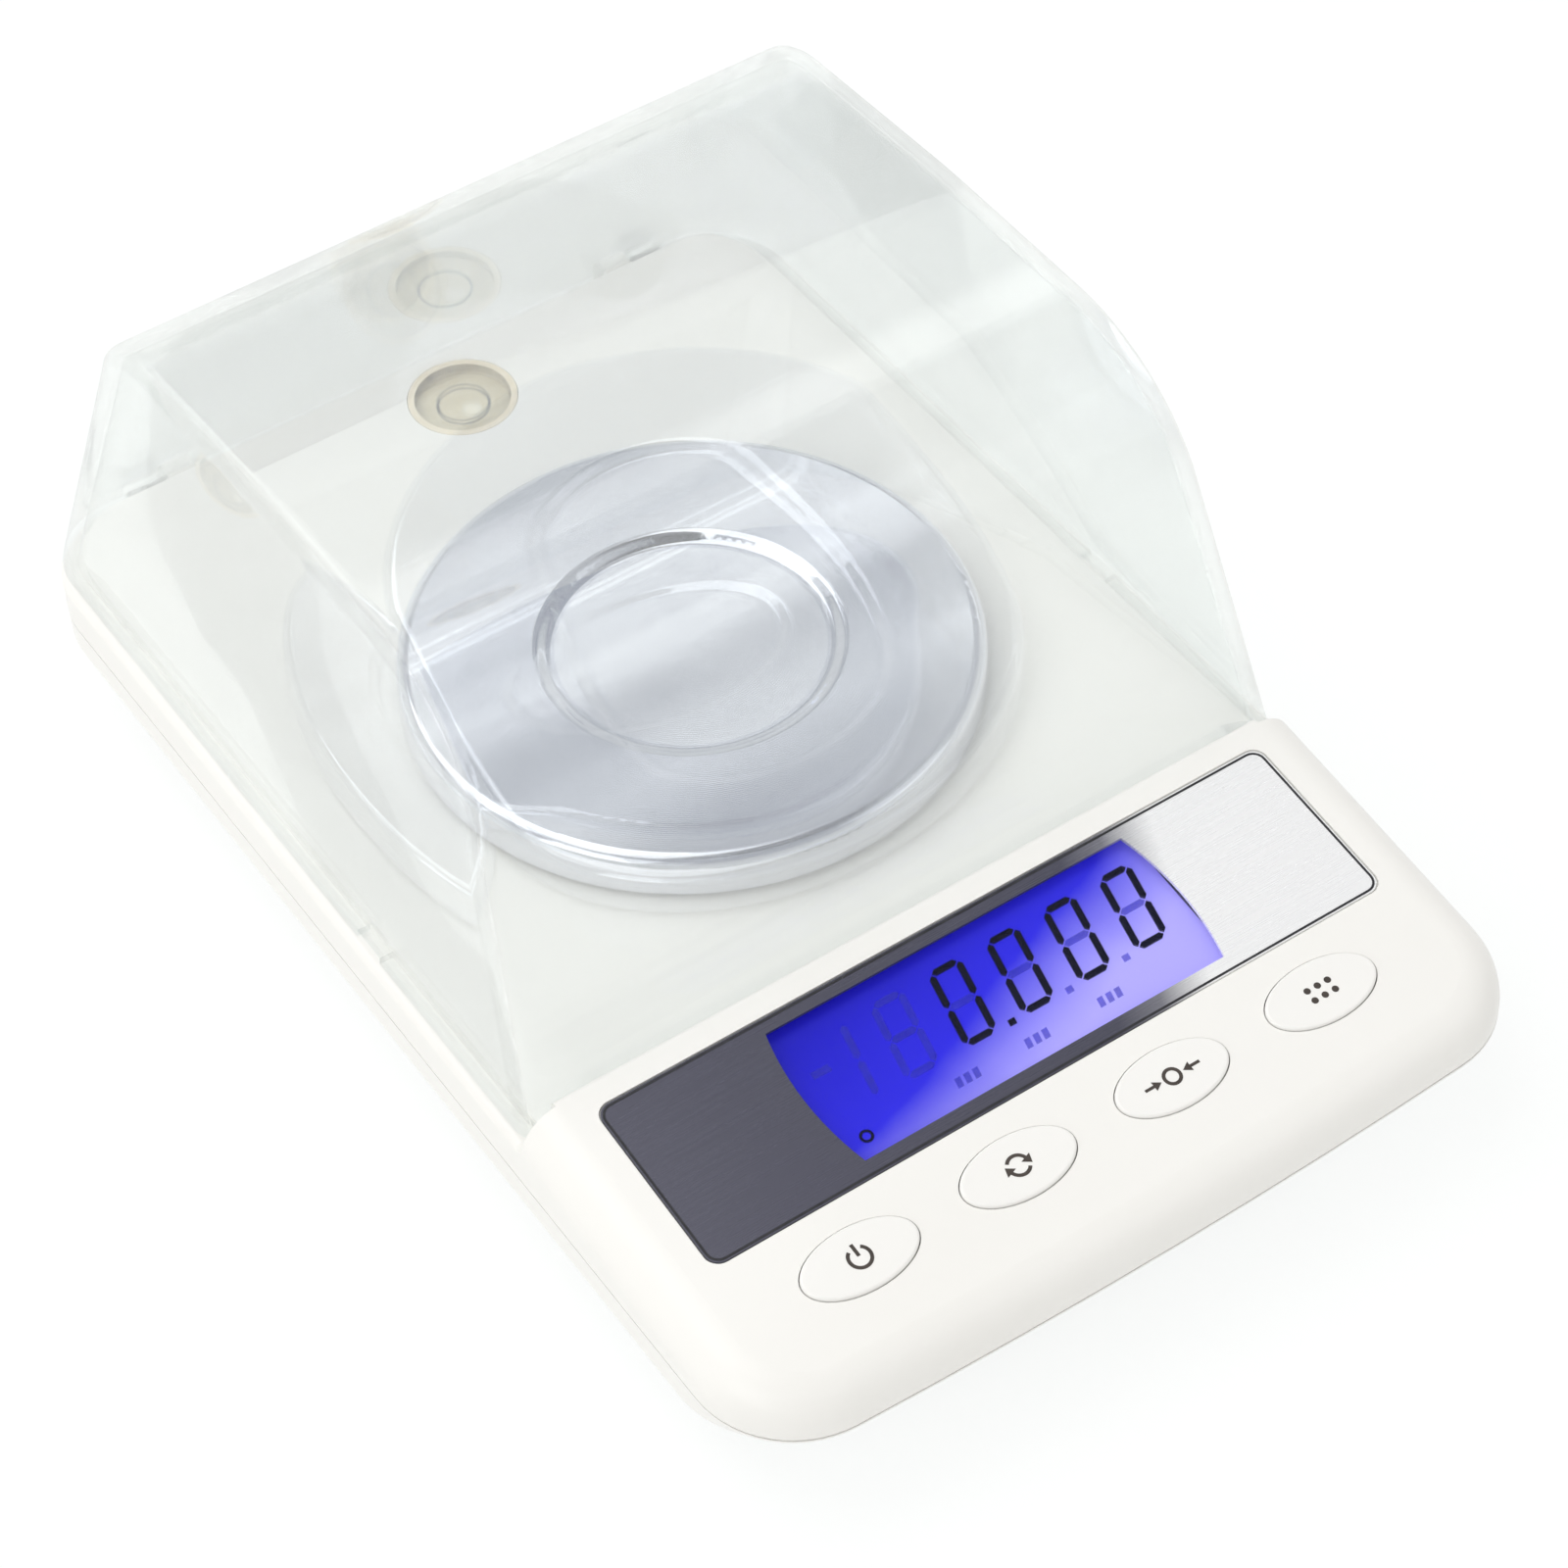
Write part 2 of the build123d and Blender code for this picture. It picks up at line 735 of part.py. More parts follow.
def hood():
    """The clear hood: a drafted shell whose foot follows the deck's shoulders."""
    shell = hood_form(0) - hood_form(hood_wall)
    foot = ledge_height + hood_seat_gap
    shell = shell - box_between((-body_width, -body_length, 0), (body_width, body_length, foot))
    start = Plane(origin=(0, pan_y, 0), x_dir=(1, 0, 0), z_dir=(0, -1, 0))
    shell = shell - extrude(start * deck_section(-hood_seat_gap), body_length)
    notch = box_between(
        (-body_width, finger_notch_y - finger_notch_length / 2, 0),
        (body_width, finger_notch_y + finger_notch_length / 2, foot + finger_notch_height),
    )
    shell = shell - notch
    left = knuckle_inner_x - 2 * hinge_side_gap - lug_length
    for notch in mirrored(rod_x(left, knuckle_inner_x, hinge_y, hinge_z, lug_notch_radius)):
        shell = shell - notch
    for knuckle in mirrored(hood_knuckle()):
        shell = shell + knuckle
    right = knuckle_inner_x + knuckle_length
    bore = rod_x(left, right, hinge_y, hinge_z, hinge_pin_radius + hinge_pin_clearance)
    for hole in mirrored(bore):
        shell = shell - hole
    return shell


# Pan and its carrier

def weighing_pan():
    """The pressed steel pan: flat rim, rounded edge, skirt and shallow well."""
    top = pan_height
    well = top - pan_well_depth
    flat = pan_radius - pan_rim_radius
    foot = pan_well_radius
    shoulder = foot + pan_well_slope
    mid = (foot + shoulder) / 2
    inner_rim = pan_rim_radius - pan_sheet
    bend = sqrt(0.5)
    edges = [
        Line((0, well), (foot, well)),
        Spline((foot, well), (mid, (well + top) / 2), (shoulder, top), tangents=[(1, 0), (1, 0)]),
        Line((shoulder, top), (flat, top)),
        ThreePointArc(
            (flat, top),
            (flat + pan_rim_radius * bend, top - pan_rim_radius + pan_rim_radius * bend),
            (pan_radius, top - pan_rim_radius),
        ),
        Line((pan_radius, top - pan_rim_radius), (pan_radius, pan_skirt_bottom)),
        Line((pan_radius, pan_skirt_bottom), (pan_radius - pan_sheet, pan_skirt_bottom)),
        Line((pan_radius - pan_sheet, pan_skirt_bottom), (pan_radius - pan_sheet, top - pan_rim_radius)),
        ThreePointArc(
            (pan_radius - pan_sheet, top - pan_rim_radius),
            (flat + inner_rim * bend, top - pan_rim_radius + inner_rim * bend),
            (flat, top - pan_sheet),
        ),
        Line((flat, top - pan_sheet), (shoulder, top - pan_sheet)),
        Spline(
            (shoulder, top - pan_sheet), (mid, (well + top) / 2 - pan_sheet), (foot, well - pan_sheet),
            tangents=[(-1, 0), (-1, 0)],
        ),
        Line((foot, well - pan_sheet), (0, well - pan_sheet)),
        Line((0, well - pan_sheet), (0, well)),
    ]
    half = make_face(edges)
    return Pos(0, pan_y, 0) * revolve(Plane.XZ * half, Axis.Z)


def pan_carrier():
    """The ribbed disc that holds the pan, with its hub on the load cell."""
    seat = pan_height - pan_well_depth - pan_sheet - carrier_gap
    raised = pan_height - pan_sheet - carrier_gap
    inner = pan_well_radius + pan_well_slope
    outer = inner + pan_well_slope
    rim = pan_radius - pan_sheet - carrier_skirt_gap
    round_top = raised - pan_rim_radius / 2
    hub_foot = cell_top + carrier_load_gap
    half = Polygon(
        (0, hub_foot), (carrier_hub_radius, hub_foot), (carrier_hub_radius, seat - carrier_plate),
        (inner, seat - carrier_plate), (outer, raised - carrier_plate),
        (rim - carrier_rim_width, raised - carrier_plate),
        (rim - carrier_rim_width, carrier_rim_bottom), (rim, carrier_rim_bottom), (rim, round_top),
        (rim - pan_rim_radius / 2, raised), (outer, raised), (inner, seat), (0, seat), align=None,
    )
    disc = Pos(0, pan_y, 0) * revolve(Plane.XZ * half, Axis.Z)
    middle = (carrier_hub_radius + rim) / 2 - carrier_rim_width / 2
    rib_height = seat - carrier_plate / 2 - carrier_rim_bottom
    rib = Pos(middle, 0, carrier_rim_bottom + rib_height / 2)
    rib = rib * Box(rim - carrier_rim_width / 2 - carrier_hub_radius, carrier_rib_width, rib_height)
    for place in PolarLocations(0, carrier_rib_count):
        disc = disc + Pos(0, pan_y, 0) * place * rib
    for y in front_cell_screws():
        disc = disc - post(0, y, 0, hub_foot + carrier_screw_grip, cell_screw_radius + screw_fit)
    return disc


# Load cell

def front_cell_screws():
    """Where the two carrier screws stand."""
    return [pan_y - cell_screw_spacing / 2, pan_y + cell_screw_spacing / 2]


def rear_cell_screws():
    """Where the two screws of the load cell's foot stand."""
    middle = cell_rear - cell_end_margin
    return [middle - cell_screw_spacing / 2, middle + cell_screw_spacing / 2]


def load_cell():
    """The aluminium beam with its double bore and slot."""
    beam = box_between((-cell_width / 2, cell_front, cell_bottom), (cell_width / 2, cell_rear, cell_top))
    height = (cell_top + cell_bottom) / 2
    reach = cell_bore_spacing / 2
    for y in (cell_middle - reach, cell_middle + reach):
        beam = beam - rod_x(-cell_width, cell_width, y, height, cell_bore_radius)
    slot = cell_slot_height / 2
    beam = beam - box_between(
        (-cell_width, cell_middle - reach, height - slot), (cell_width, cell_middle + reach, height + slot)
    )
    for y in front_cell_screws() + rear_cell_screws():
        beam = beam - post(0, y, 0, pan_height, cell_screw_radius + screw_fit)
    return beam


def strain_gauges():
    """Four foil gauges, over and under the beam's thin spots."""
    gauges = []
    for y in (cell_middle - cell_bore_spacing / 2, cell_middle + cell_bore_spacing / 2):
        for z in (cell_top + gauge_thickness / 2, cell_bottom - gauge_thickness / 2):
            gauges.append(Pos(0, y, z) * Box(gauge_width, gauge_length, gauge_thickness))
    return gauges


def load_cell_foot():
    """The metal block under the load cell's fixed end."""
    block = box_between(
        (-cell_width / 2, cell_rear - cell_foot_length, cell_foot_bottom),
        (cell_width / 2, cell_rear, cell_bottom),
    )
    block = chamfer(block.edges().filter_by(Axis.Z), cell_foot_chamfer)
    for y in rear_cell_screws():
        block = block - post(0, y, 0, pan_height, cell_screw_radius + screw_fit)
    return block


def load_cell_screws():
    """Two screws through the fixed end of the load cell into the floor."""
    screws = []
    for y in rear_cell_screws():
        head = post(0, y, cell_top, cell_top + cell_screw_head_height, cell_screw_head_radius)
        shank = post(0, y, base_height + floor_thickness + screw_hole_gap, cell_top, cell_screw_radius)
        drive = Cylinder(cell_drive_radius, cell_screw_head_height)
        drive = Pos(0, y, cell_top + cell_screw_head_height) * drive
        screws.append(head + shank - drive)
    return screws


def carrier_screws():
    """Two screws from below through the load cell's free end into the hub."""
    screws = []
    for y in front_cell_screws():
        low = cell_bottom - carrier_load_gap - cell_screw_head_height
        head = post(0, y, low, low + cell_screw_head_height, cell_screw_head_radius)
        shank = post(0, y, low, cell_top + carrier_screw_grip, cell_screw_radius)
        drive = Pos(0, y, low) * Cylinder(cell_drive_radius, cell_screw_head_height)
        screws.append(head + shank - drive)
    return screws


def overload_stop():
    """The set screw that stops the beam when the pan is pressed too hard."""
    top = cell_bottom - stop_gap
    screw = post(0, stop_screw_y, base_height + floor_thickness, top, stop_screw_radius)
    return chamfer(screw.edges().sort_by(Axis.Z)[-1], stop_gap)


# Spirit level

def level_cup():
    """The tan cup of the spirit level."""
    cup = post(level_x, level_y, level_bottom, platform_height, level_radius)
    return cup - post(level_x, level_y, level_bottom + level_wall, platform_height, level_radius - level_wall)


def level_fluid():
    """The liquid in the spirit level."""
    bottom = level_bottom + level_wall
    top = platform_height - level_lens_thickness
    return post(level_x, level_y, bottom, top, level_radius - level_wall)


def level_lens():
    """The spirit level's slightly domed lens."""
    radius = level_radius - level_wall
    bottom = platform_height - level_lens_thickness
    dome = (radius**2 + level_lens_dome**2) / (2 * level_lens_dome)
    middle_drop = dome - sqrt(dome**2 - (radius / 2) ** 2)
    profile = [
        Line((0, bottom), (radius, bottom)),
        Line((radius, bottom), (radius, platform_height)),
        ThreePointArc(
            (radius, platform_height),
            (radius / 2, platform_height + level_lens_dome - middle_drop),
            (0, platform_height + level_lens_dome),
        ),
        Line((0, platform_height + level_lens_dome), (0, bottom)),
    ]
    return Pos(level_x, level_y, 0) * revolve(Plane.XZ * make_face(profile), Axis.Z)


# Console parts

def display_plate():
    """The thin metal plate on the console with its window."""
    plan = RectangleRounded(plate_width, plate_height, plate_corner_radius)
    window = display_plan(window_width, window_height, window_bulge)
    plan = plan - Pos(0, window_centre_v - plate_centre_v) * window
    return on_console(plan, plate_centre_x, plate_centre_v, plate_recess - plate_thickness, plate_thickness)


def display_window():
    """The clear pane under the plate."""
    pane = Rectangle(window_pane_width, window_pane_height)
    return on_console(pane, plate_centre_x, window_centre_v, plate_recess, window_pane_thickness)


def lcd_glass():
    """The liquid crystal panel."""
    plan = Rectangle(lcd_width, lcd_height)
    return on_console(plan, plate_centre_x, window_centre_v, lcd_top_depth, lcd_thickness)


def backlight():
    """The light guide behind the panel."""
    plan = Rectangle(lcd_width, lcd_height)
    return on_console(plan, plate_centre_x, window_centre_v, backlight_depth, backlight_thickness)


def lcd_frame():
    """The frame that holds panel and light guide on the board."""
    inner = Rectangle(lcd_width + glass_gap, lcd_height + glass_gap)
    outer = Rectangle(lcd_width + 2 * lcd_frame_wall, lcd_height + 2 * lcd_frame_wall)
    top = housing_wall + button_flange_gap
    floor_depth = backlight_depth + backlight_thickness
    wall = on_console(outer - inner, plate_centre_x, window_centre_v, top, floor_depth - top)
    return wall + on_console(outer, plate_centre_x, window_centre_v, floor_depth, board_depth - floor_depth)


def main_board():
    """The circuit board with its four screw holes."""
    height = board_rear_v - board_front_v
    plan = Rectangle(board_width, height)
    middle = (board_rear_v + board_front_v) / 2
    for x, v in board_screw_places():
        plan = plan - Pos(x, v - middle) * Circle(board_screw_radius + screw_fit)
    return on_console(plan, 0, middle, board_depth, board_thickness)


def board_screws():
    """Four screws from below through the board into the pillars."""
    screws = []
    low = board_depth + board_thickness
    for x, v in board_screw_places():
        head = on_console(Circle(board_screw_head_radius), x, v, low, board_screw_head_height)
        tip = housing_wall + 2 * screw_hole_gap
        shank = on_console(Circle(board_screw_radius), x, v, tip, low - housing_wall)
        slot = Rectangle(board_drive_length, board_drive_width)
        drive = on_console(slot, x, v, low + board_screw_head_height / 2, board_screw_head_height)
        screws.append(head + shank - drive)
    return screws


def tact_switches():
    """Four small push switches on the board."""
    switches = []
    for x in button_places():
        top = board_depth - switch_body_height
        body = on_console(Rectangle(switch_side, switch_side), x, button_centre_v, top, switch_body_height)
        plunger = Circle(switch_plunger_radius)
        plunger = on_console(plunger, x, button_centre_v, switch_top_depth, switch_plunger_height)
        switches.append(body + plunger)
    return switches


def button(x):
    """One oval button: cap with a soft edge, and a flange under the console."""
    cap = extrude(button_plan(0), housing_wall + button_rise + button_flange_gap)
    cap = fillet(cap.edges().sort_by(Axis.Z)[-1], button_edge_radius)
    flange_top = housing_wall + button_flange_gap
    flange = extrude(button_plan(button_flange), button_flange_thickness)
    key = cap + Pos(0, 0, -button_flange_thickness) * flange
    return console_plane * Pos(x, button_centre_v, -flange_top) * key


# Batteries and door

def battery_rows():
    """The middle of each battery along Y."""
    first = battery_centre_y - (battery_count - 1) * battery_pitch / 2
    return [first + i * battery_pitch for i in range(battery_count)]


def batteries():
    """Four cells side by side, alternately turned."""
    cells = []
    for i, y in enumerate(battery_rows()):
        side = 1 if i % 2 else -1
        end = battery_length / 2
        cell = rod_x(-end, end, y, battery_axis, battery_radius)
        tip_from, tip_to = sorted((side * end, side * (end + battery_tip_length)))
        cells.append(cell + rod_x(tip_from, tip_to, y, battery_axis, battery_tip_radius))
    return cells


def battery_contacts():
    """A plate at each end of each battery, with a coil spring against the flat end."""
    contacts = []
    for i, y in enumerate(battery_rows()):
        spring_side = -1 if i % 2 else 1
        for side in (-1, 1):
            outer = side * (bay_half_width - contact_thickness / 2)
            plate = Pos(outer, y, battery_axis) * Box(contact_thickness, contact_width, contact_height)
            if side == spring_side:
                room = bay_end_gap - contact_thickness - spring_wire_radius
                for turn in range(spring_turns):
                    reach = spring_wire_radius + turn * (room - 2 * spring_wire_radius) / spring_turns
                    x = side * (bay_half_width - contact_thickness - reach)
                    ring = Torus(spring_radius - turn * spring_wire_radius, spring_wire_radius)
                    plate = plate + Pos(x, y, battery_axis) * Rot(0, 90, 0) * ring
            contacts.append(plate)
    return contacts


def battery_door():
    """The sliding door with its side lips and finger grips."""
    half = bay_half_width
    front = battery_centre_y - bay_half_length - door_overlap
    rear = battery_centre_y + bay_half_length + door_overlap
    plate = box_between((-half, front, door_bottom), (half, rear, door_top))
    lip = half + door_lip
    plate = plate + box_between((-lip, front, door_top - door_lip_thickness), (lip, rear, door_top))
    for i in range(door_grip_count):
        y = front + door_overlap + door_grip_pitch * (i + 1)
        plate = plate - box_between(
            (-half / 2, y, 0), (half / 2, y + door_grip_width, door_bottom + door_grip_depth)
        )
    return plate


# Adapter inlet

def adapter_inlet():
    """The low-voltage inlet in the rear wall, with its centre pin."""
    face = body_length / 2 - inlet_set_back
    body = Rot(90, 0, 0) * Cylinder(inlet_radius, inlet_length)
    body = Pos(inlet_x, face - inlet_length / 2, seam_height) * body
    bore = Rot(90, 0, 0) * Cylinder(inlet_bore_radius, inlet_bore_depth)
    body = body - Pos(inlet_x, face - inlet_bore_depth / 2, seam_height) * bore
    pin_length = inlet_bore_depth - inlet_set_back
    pin = Rot(90, 0, 0) * Cylinder(inlet_pin_radius, pin_length)
    return body + Pos(inlet_x, face - inlet_bore_depth + pin_length / 2, seam_height) * pin


def build():
    """Every node of the assembly by name."""
    parts = {
        "upper_housing": upper_housing(),
        "lower_housing": lower_housing(),
        "housing_screws": housing_screws(),
        "front_feet": front_feet(),
        "foot_wheel_right": foot_wheel(),
        "foot_wheel_left": mirror(foot_wheel(), about=Plane.YZ),
        "foot_pad_right": foot_pad(),
        "foot_pad_left": mirror(foot_pad(), about=Plane.YZ),
        "foot_inserts": foot_inserts(),
        "hood": hood(),
        "hinge_pins": mirrored(hinge_pin()),
        "weighing_pan": weighing_pan(),
        "pan_carrier": pan_carrier(),
        "carrier_screws": carrier_screws(),
        "load_cell": load_cell(),
        "strain_gauges": strain_gauges(),
        "load_cell_foot": load_cell_foot(),
        "load_cell_screws": load_cell_screws(),
        "overload_stop": overload_stop(),
        "level_cup": level_cup(),
        "level_fluid": level_fluid(),
        "level_lens": level_lens(),
        "display_plate": display_plate(),
        "display_window": display_window(),
        "lcd_glass": lcd_glass(),
        "backlight": backlight(),
        "lcd_frame": lcd_frame(),
        "main_board": main_board(),
        "board_screws": board_screws(),
        "tact_switches": tact_switches(),
        "batteries": batteries(),
        "battery_contacts": battery_contacts(),
        "battery_door": battery_door(),
        "adapter_inlet": adapter_inlet(),
    }
    for node, x in zip(button_nodes, button_places()):
        parts[node] = button(x)
    return parts


os.makedirs("parts", exist_ok=True)
for node, shape in build().items():
    solids = shape if isinstance(shape, list) else [shape]
    group = Compound(label=node, children=[s for piece in solids for s in piece.solids()])
    print(node, len(group.solids()), "solids", round(group.volume), "mm3")
    export_step(group, f"parts/{node}.step")
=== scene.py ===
from math import cos, pi, radians, sin, tan

import bmesh
import bpy
from mathutils import Matrix, Vector


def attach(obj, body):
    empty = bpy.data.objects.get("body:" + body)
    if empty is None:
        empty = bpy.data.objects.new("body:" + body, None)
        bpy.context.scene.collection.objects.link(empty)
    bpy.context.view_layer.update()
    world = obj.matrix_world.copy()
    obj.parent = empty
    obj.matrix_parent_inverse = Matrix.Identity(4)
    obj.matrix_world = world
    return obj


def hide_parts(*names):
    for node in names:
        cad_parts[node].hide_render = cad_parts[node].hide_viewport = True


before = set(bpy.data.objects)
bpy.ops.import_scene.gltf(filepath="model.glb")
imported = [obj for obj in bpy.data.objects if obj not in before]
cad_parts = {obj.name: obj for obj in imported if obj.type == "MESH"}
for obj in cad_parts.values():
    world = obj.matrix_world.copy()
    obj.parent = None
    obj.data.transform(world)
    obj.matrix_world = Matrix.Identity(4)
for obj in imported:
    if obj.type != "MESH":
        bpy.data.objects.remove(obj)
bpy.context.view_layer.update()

mm = 0.001
print("scale frame loaded:", len(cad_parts), "nodes")


# node helpers

def newMaterial(name):
    mat = bpy.data.materials.new(name)
    mat.use_nodes = True
    mat.node_tree.nodes.clear()
    return mat


def addNode(tree, kind, **values):
    n = tree.nodes.new("ShaderNode" + kind)
    for key, value in values.items():
        if key in ("operation", "data_type", "wave_type", "rings_direction"):
            setattr(n, key, value)
        else:
            n.inputs[key.replace("_", " ")].default_value = value
    return n


def ramp(tree, source, stops):
    n = tree.nodes.new("ShaderNodeValToRGB")
    ends = n.color_ramp.elements
    while len(ends) < len(stops):
        ends.new(0.5)
    for e, (place, colour) in zip(ends, stops):
        e.position = place
        e.color = (*colour, 1)
    tree.links.new(source, n.inputs["Fac"])
    return n.outputs["Color"]


# a math node on one output and either a number or a second output
def sums(tree, operation, first, second=None):
    n = addNode(tree, "Math", operation=operation)
    tree.links.new(first, n.inputs[0])
    if isinstance(second, (int, float)):
        n.inputs[1].default_value = second
    elif second is not None:
        tree.links.new(second, n.inputs[1])
    return n.outputs["Value"]


# the colour sockets of a mix node go by number: 6 and 7 in, 2 out
def mixTone(tree, share, under, over):
    n = addNode(tree, "Mix", data_type="RGBA")
    tree.links.new(share, n.inputs[0])
    tree.links.new(under, n.inputs[6])
    n.inputs[7].default_value = (*over, 1)
    return n.outputs[2]


def mixShader(tree, share, under, over):
    n = tree.nodes.new("ShaderNodeMixShader")
    if isinstance(share, float):
        n.inputs[0].default_value = share
    else:
        tree.links.new(share, n.inputs[0])
    tree.links.new(under, n.inputs[1])
    tree.links.new(over, n.inputs[2])
    return n.outputs["Shader"]


def axes(tree, where):
    n = tree.nodes.new("ShaderNodeSeparateXYZ")
    tree.links.new(where, n.inputs["Vector"])
    return n.outputs


def spread(tree, source, low, high, outLow, outHigh):
    n = addNode(tree, "MapRange", From_Min=low, From_Max=high, To_Min=outLow, To_Max=outHigh)
    tree.links.new(source, n.inputs["Value"])
    return n.outputs["Result"]


def objectSpace(tree, centre=(0, 0, 0), size=(1, 1, 1)):
    coord = tree.nodes.new("ShaderNodeTexCoord")
    place = tree.nodes.new("ShaderNodeMapping")
    place.vector_type = "TEXTURE"  # takes the centre away first
    place.inputs["Location"].default_value = centre
    place.inputs["Scale"].default_value = size
    tree.links.new(coord.outputs["Object"], place.inputs["Vector"])
    return place.outputs["Vector"]


def noise(tree, where, scale, detail=3, rough=0.5, twist=0.0):
    n = addNode(tree, "TexNoise", Scale=scale, Detail=detail, Roughness=rough, Distortion=twist)
    tree.links.new(where, n.inputs["Vector"])
    return n.outputs["Fac"]


def relief(tree, height, strength, depth, under=None):
    n = addNode(tree, "Bump", Strength=strength, Distance=depth)
    tree.links.new(height, n.inputs["Height"])
    if under:
        tree.links.new(under, n.inputs["Normal"])
    return n.outputs["Normal"]


def finishMaterial(mat, shader):
    out = mat.node_tree.nodes.new("ShaderNodeOutputMaterial")
    mat.node_tree.links.new(shader, out.inputs["Surface"])
    return mat


def plainFinish(name, look):
    mat = newMaterial(name)
    tree = mat.node_tree
    where = objectSpace(tree, size=look.get("stretch", (1, 1, 1)))
    body = addNode(tree, "BsdfPrincipled", Metallic=look.get("metal", 0.0), IOR=1.46)
    body.inputs["Specular IOR Level"].default_value = look.get("shine", 0.5)
    if "coat" in look:
        body.inputs["Coat Weight"].default_value = look["coat"]
        body.inputs["Coat Roughness"].default_value = look["coatRough"]
    broad = noise(tree, where, look["patch"], 4, 0.55)
    fine = noise(tree, where, look["grain"], 3, 0.6)
    tone = ramp(tree, broad, [(0.3, look["tone"]), (0.7, look["tone2"])])
    tree.links.new(tone, body.inputs["Base Color"])
    tree.links.new(spread(tree, broad, 0.3, 0.7, *look["gloss"]), body.inputs["Roughness"])
    tree.links.new(relief(tree, fine, look["bump"], look["depth"]), body.inputs["Normal"])
    return finishMaterial(mat, body.outputs["BSDF"])


# white mouldings

housingLook = {"tone": (0.885, 0.876, 0.842), "tone2": (0.905, 0.897, 0.866), "gloss": (0.3, 0.38),
               "patch": 22, "grain": 2600, "bump": 0.12, "depth": 0.00006, "shine": 0.42, "coat": 0.12,
               "coatRough": 0.08}
keyLook = dict(housingLook, tone=(0.895, 0.888, 0.86), tone2=(0.91, 0.903, 0.878), grain=1800, bump=0.08)
doorLook = dict(housingLook, gloss=(0.4, 0.5), grain=1900, bump=0.22)

housingPlastic = plainFinish("housing_white_moulding", housingLook)
keyPlastic = plainFinish("key_white_moulding", keyLook)
doorPlastic = plainFinish("door_white_moulding", doorLook)

# dark, metal and board finishes

finishes = {
    "rubber": {"tone": (0.028, 0.028, 0.028), "tone2": (0.05, 0.049, 0.047), "gloss": (0.7, 0.9),
               "patch": 120, "grain": 3200, "bump": 0.4, "depth": 0.0001, "shine": 0.3},
    "screwZinc": {"tone": (0.5, 0.5, 0.49), "tone2": (0.66, 0.66, 0.64), "gloss": (0.25, 0.42),
                  "patch": 300, "grain": 2500, "bump": 0.15, "depth": 0.00005, "metal": 1.0},
    "milledAluminium": {"tone": (0.72, 0.73, 0.74), "tone2": (0.82, 0.83, 0.84), "gloss": (0.28, 0.4),
                        "patch": 60, "grain": 1500, "bump": 0.2, "depth": 0.00005, "metal": 1.0,
                        "stretch": (1, 0.05, 1)},
    "turnedBrass": {"tone": (0.62, 0.44, 0.18), "tone2": (0.74, 0.55, 0.25), "gloss": (0.25, 0.4),
                    "patch": 150, "grain": 2500, "bump": 0.2, "depth": 0.00005, "metal": 1.0},
    "darkPlastic": {"tone": (0.04, 0.04, 0.045), "tone2": (0.06, 0.06, 0.066), "gloss": (0.4, 0.55),
                    "patch": 90, "grain": 2600, "bump": 0.2, "depth": 0.00006},
    "carrierPlastic": {"tone": (0.55, 0.53, 0.47), "tone2": (0.62, 0.6, 0.53), "gloss": (0.45, 0.55),
                       "patch": 50, "grain": 2400, "bump": 0.2, "depth": 0.00006},
    "solderMask": {"tone": (0.02, 0.16, 0.06), "tone2": (0.03, 0.24, 0.09), "gloss": (0.3, 0.42),
                   "patch": 110, "grain": 1200, "bump": 0.25, "depth": 0.00005},
    "gaugeFoil": {"tone": (0.6, 0.32, 0.08), "tone2": (0.72, 0.42, 0.14), "gloss": (0.3, 0.45),
                  "patch": 400, "grain": 4000, "bump": 0.2, "depth": 0.00003},
    "lightGuide": {"tone": (0.78, 0.8, 0.9), "tone2": (0.84, 0.86, 0.95), "gloss": (0.3, 0.4),
                   "patch": 90, "grain": 2000, "bump": 0.1, "depth": 0.00005},
    "levelCup": {"tone": (0.78, 0.68, 0.49), "tone2": (0.86, 0.77, 0.6), "gloss": (0.35, 0.5),
                 "patch": 180, "grain": 2500, "bump": 0.15, "depth": 0.00005},
    "levelLiquid": {"tone": (0.7, 0.6, 0.4), "tone2": (0.78, 0.69, 0.49), "gloss": (0.12, 0.22),
                    "patch": 260, "grain": 1500, "bump": 0.04, "depth": 0.00003},
    "levelBubble": {"tone": (0.84, 0.78, 0.62), "tone2": (0.9, 0.85, 0.72), "gloss": (0.08, 0.15),
                    "patch": 500, "grain": 1500, "bump": 0.03, "depth": 0.00002},
    "inkBrown": {"tone": (0.045, 0.035, 0.028), "tone2": (0.075, 0.06, 0.05), "gloss": (0.45, 0.6),
                 "patch": 500, "grain": 5000, "bump": 0.15, "depth": 0.00003},
    "lcdBlack": {"tone": (0.002, 0.002, 0.012), "tone2": (0.005, 0.005, 0.02), "gloss": (0.5, 0.7),
                 "patch": 500, "grain": 5000, "bump": 0.1, "depth": 0.00002, "shine": 0.08},
    "inkBlack": {"tone": (0.012, 0.012, 0.014), "tone2": (0.03, 0.03, 0.034), "gloss": (0.35, 0.5),
                 "patch": 500, "grain": 5000, "bump": 0.15, "depth": 0.00003},
}
ready = {key: plainFinish("scale_" + key, look) for key, look in finishes.items()}
print("scale finishes:", len(ready) + 3)


# clear hood

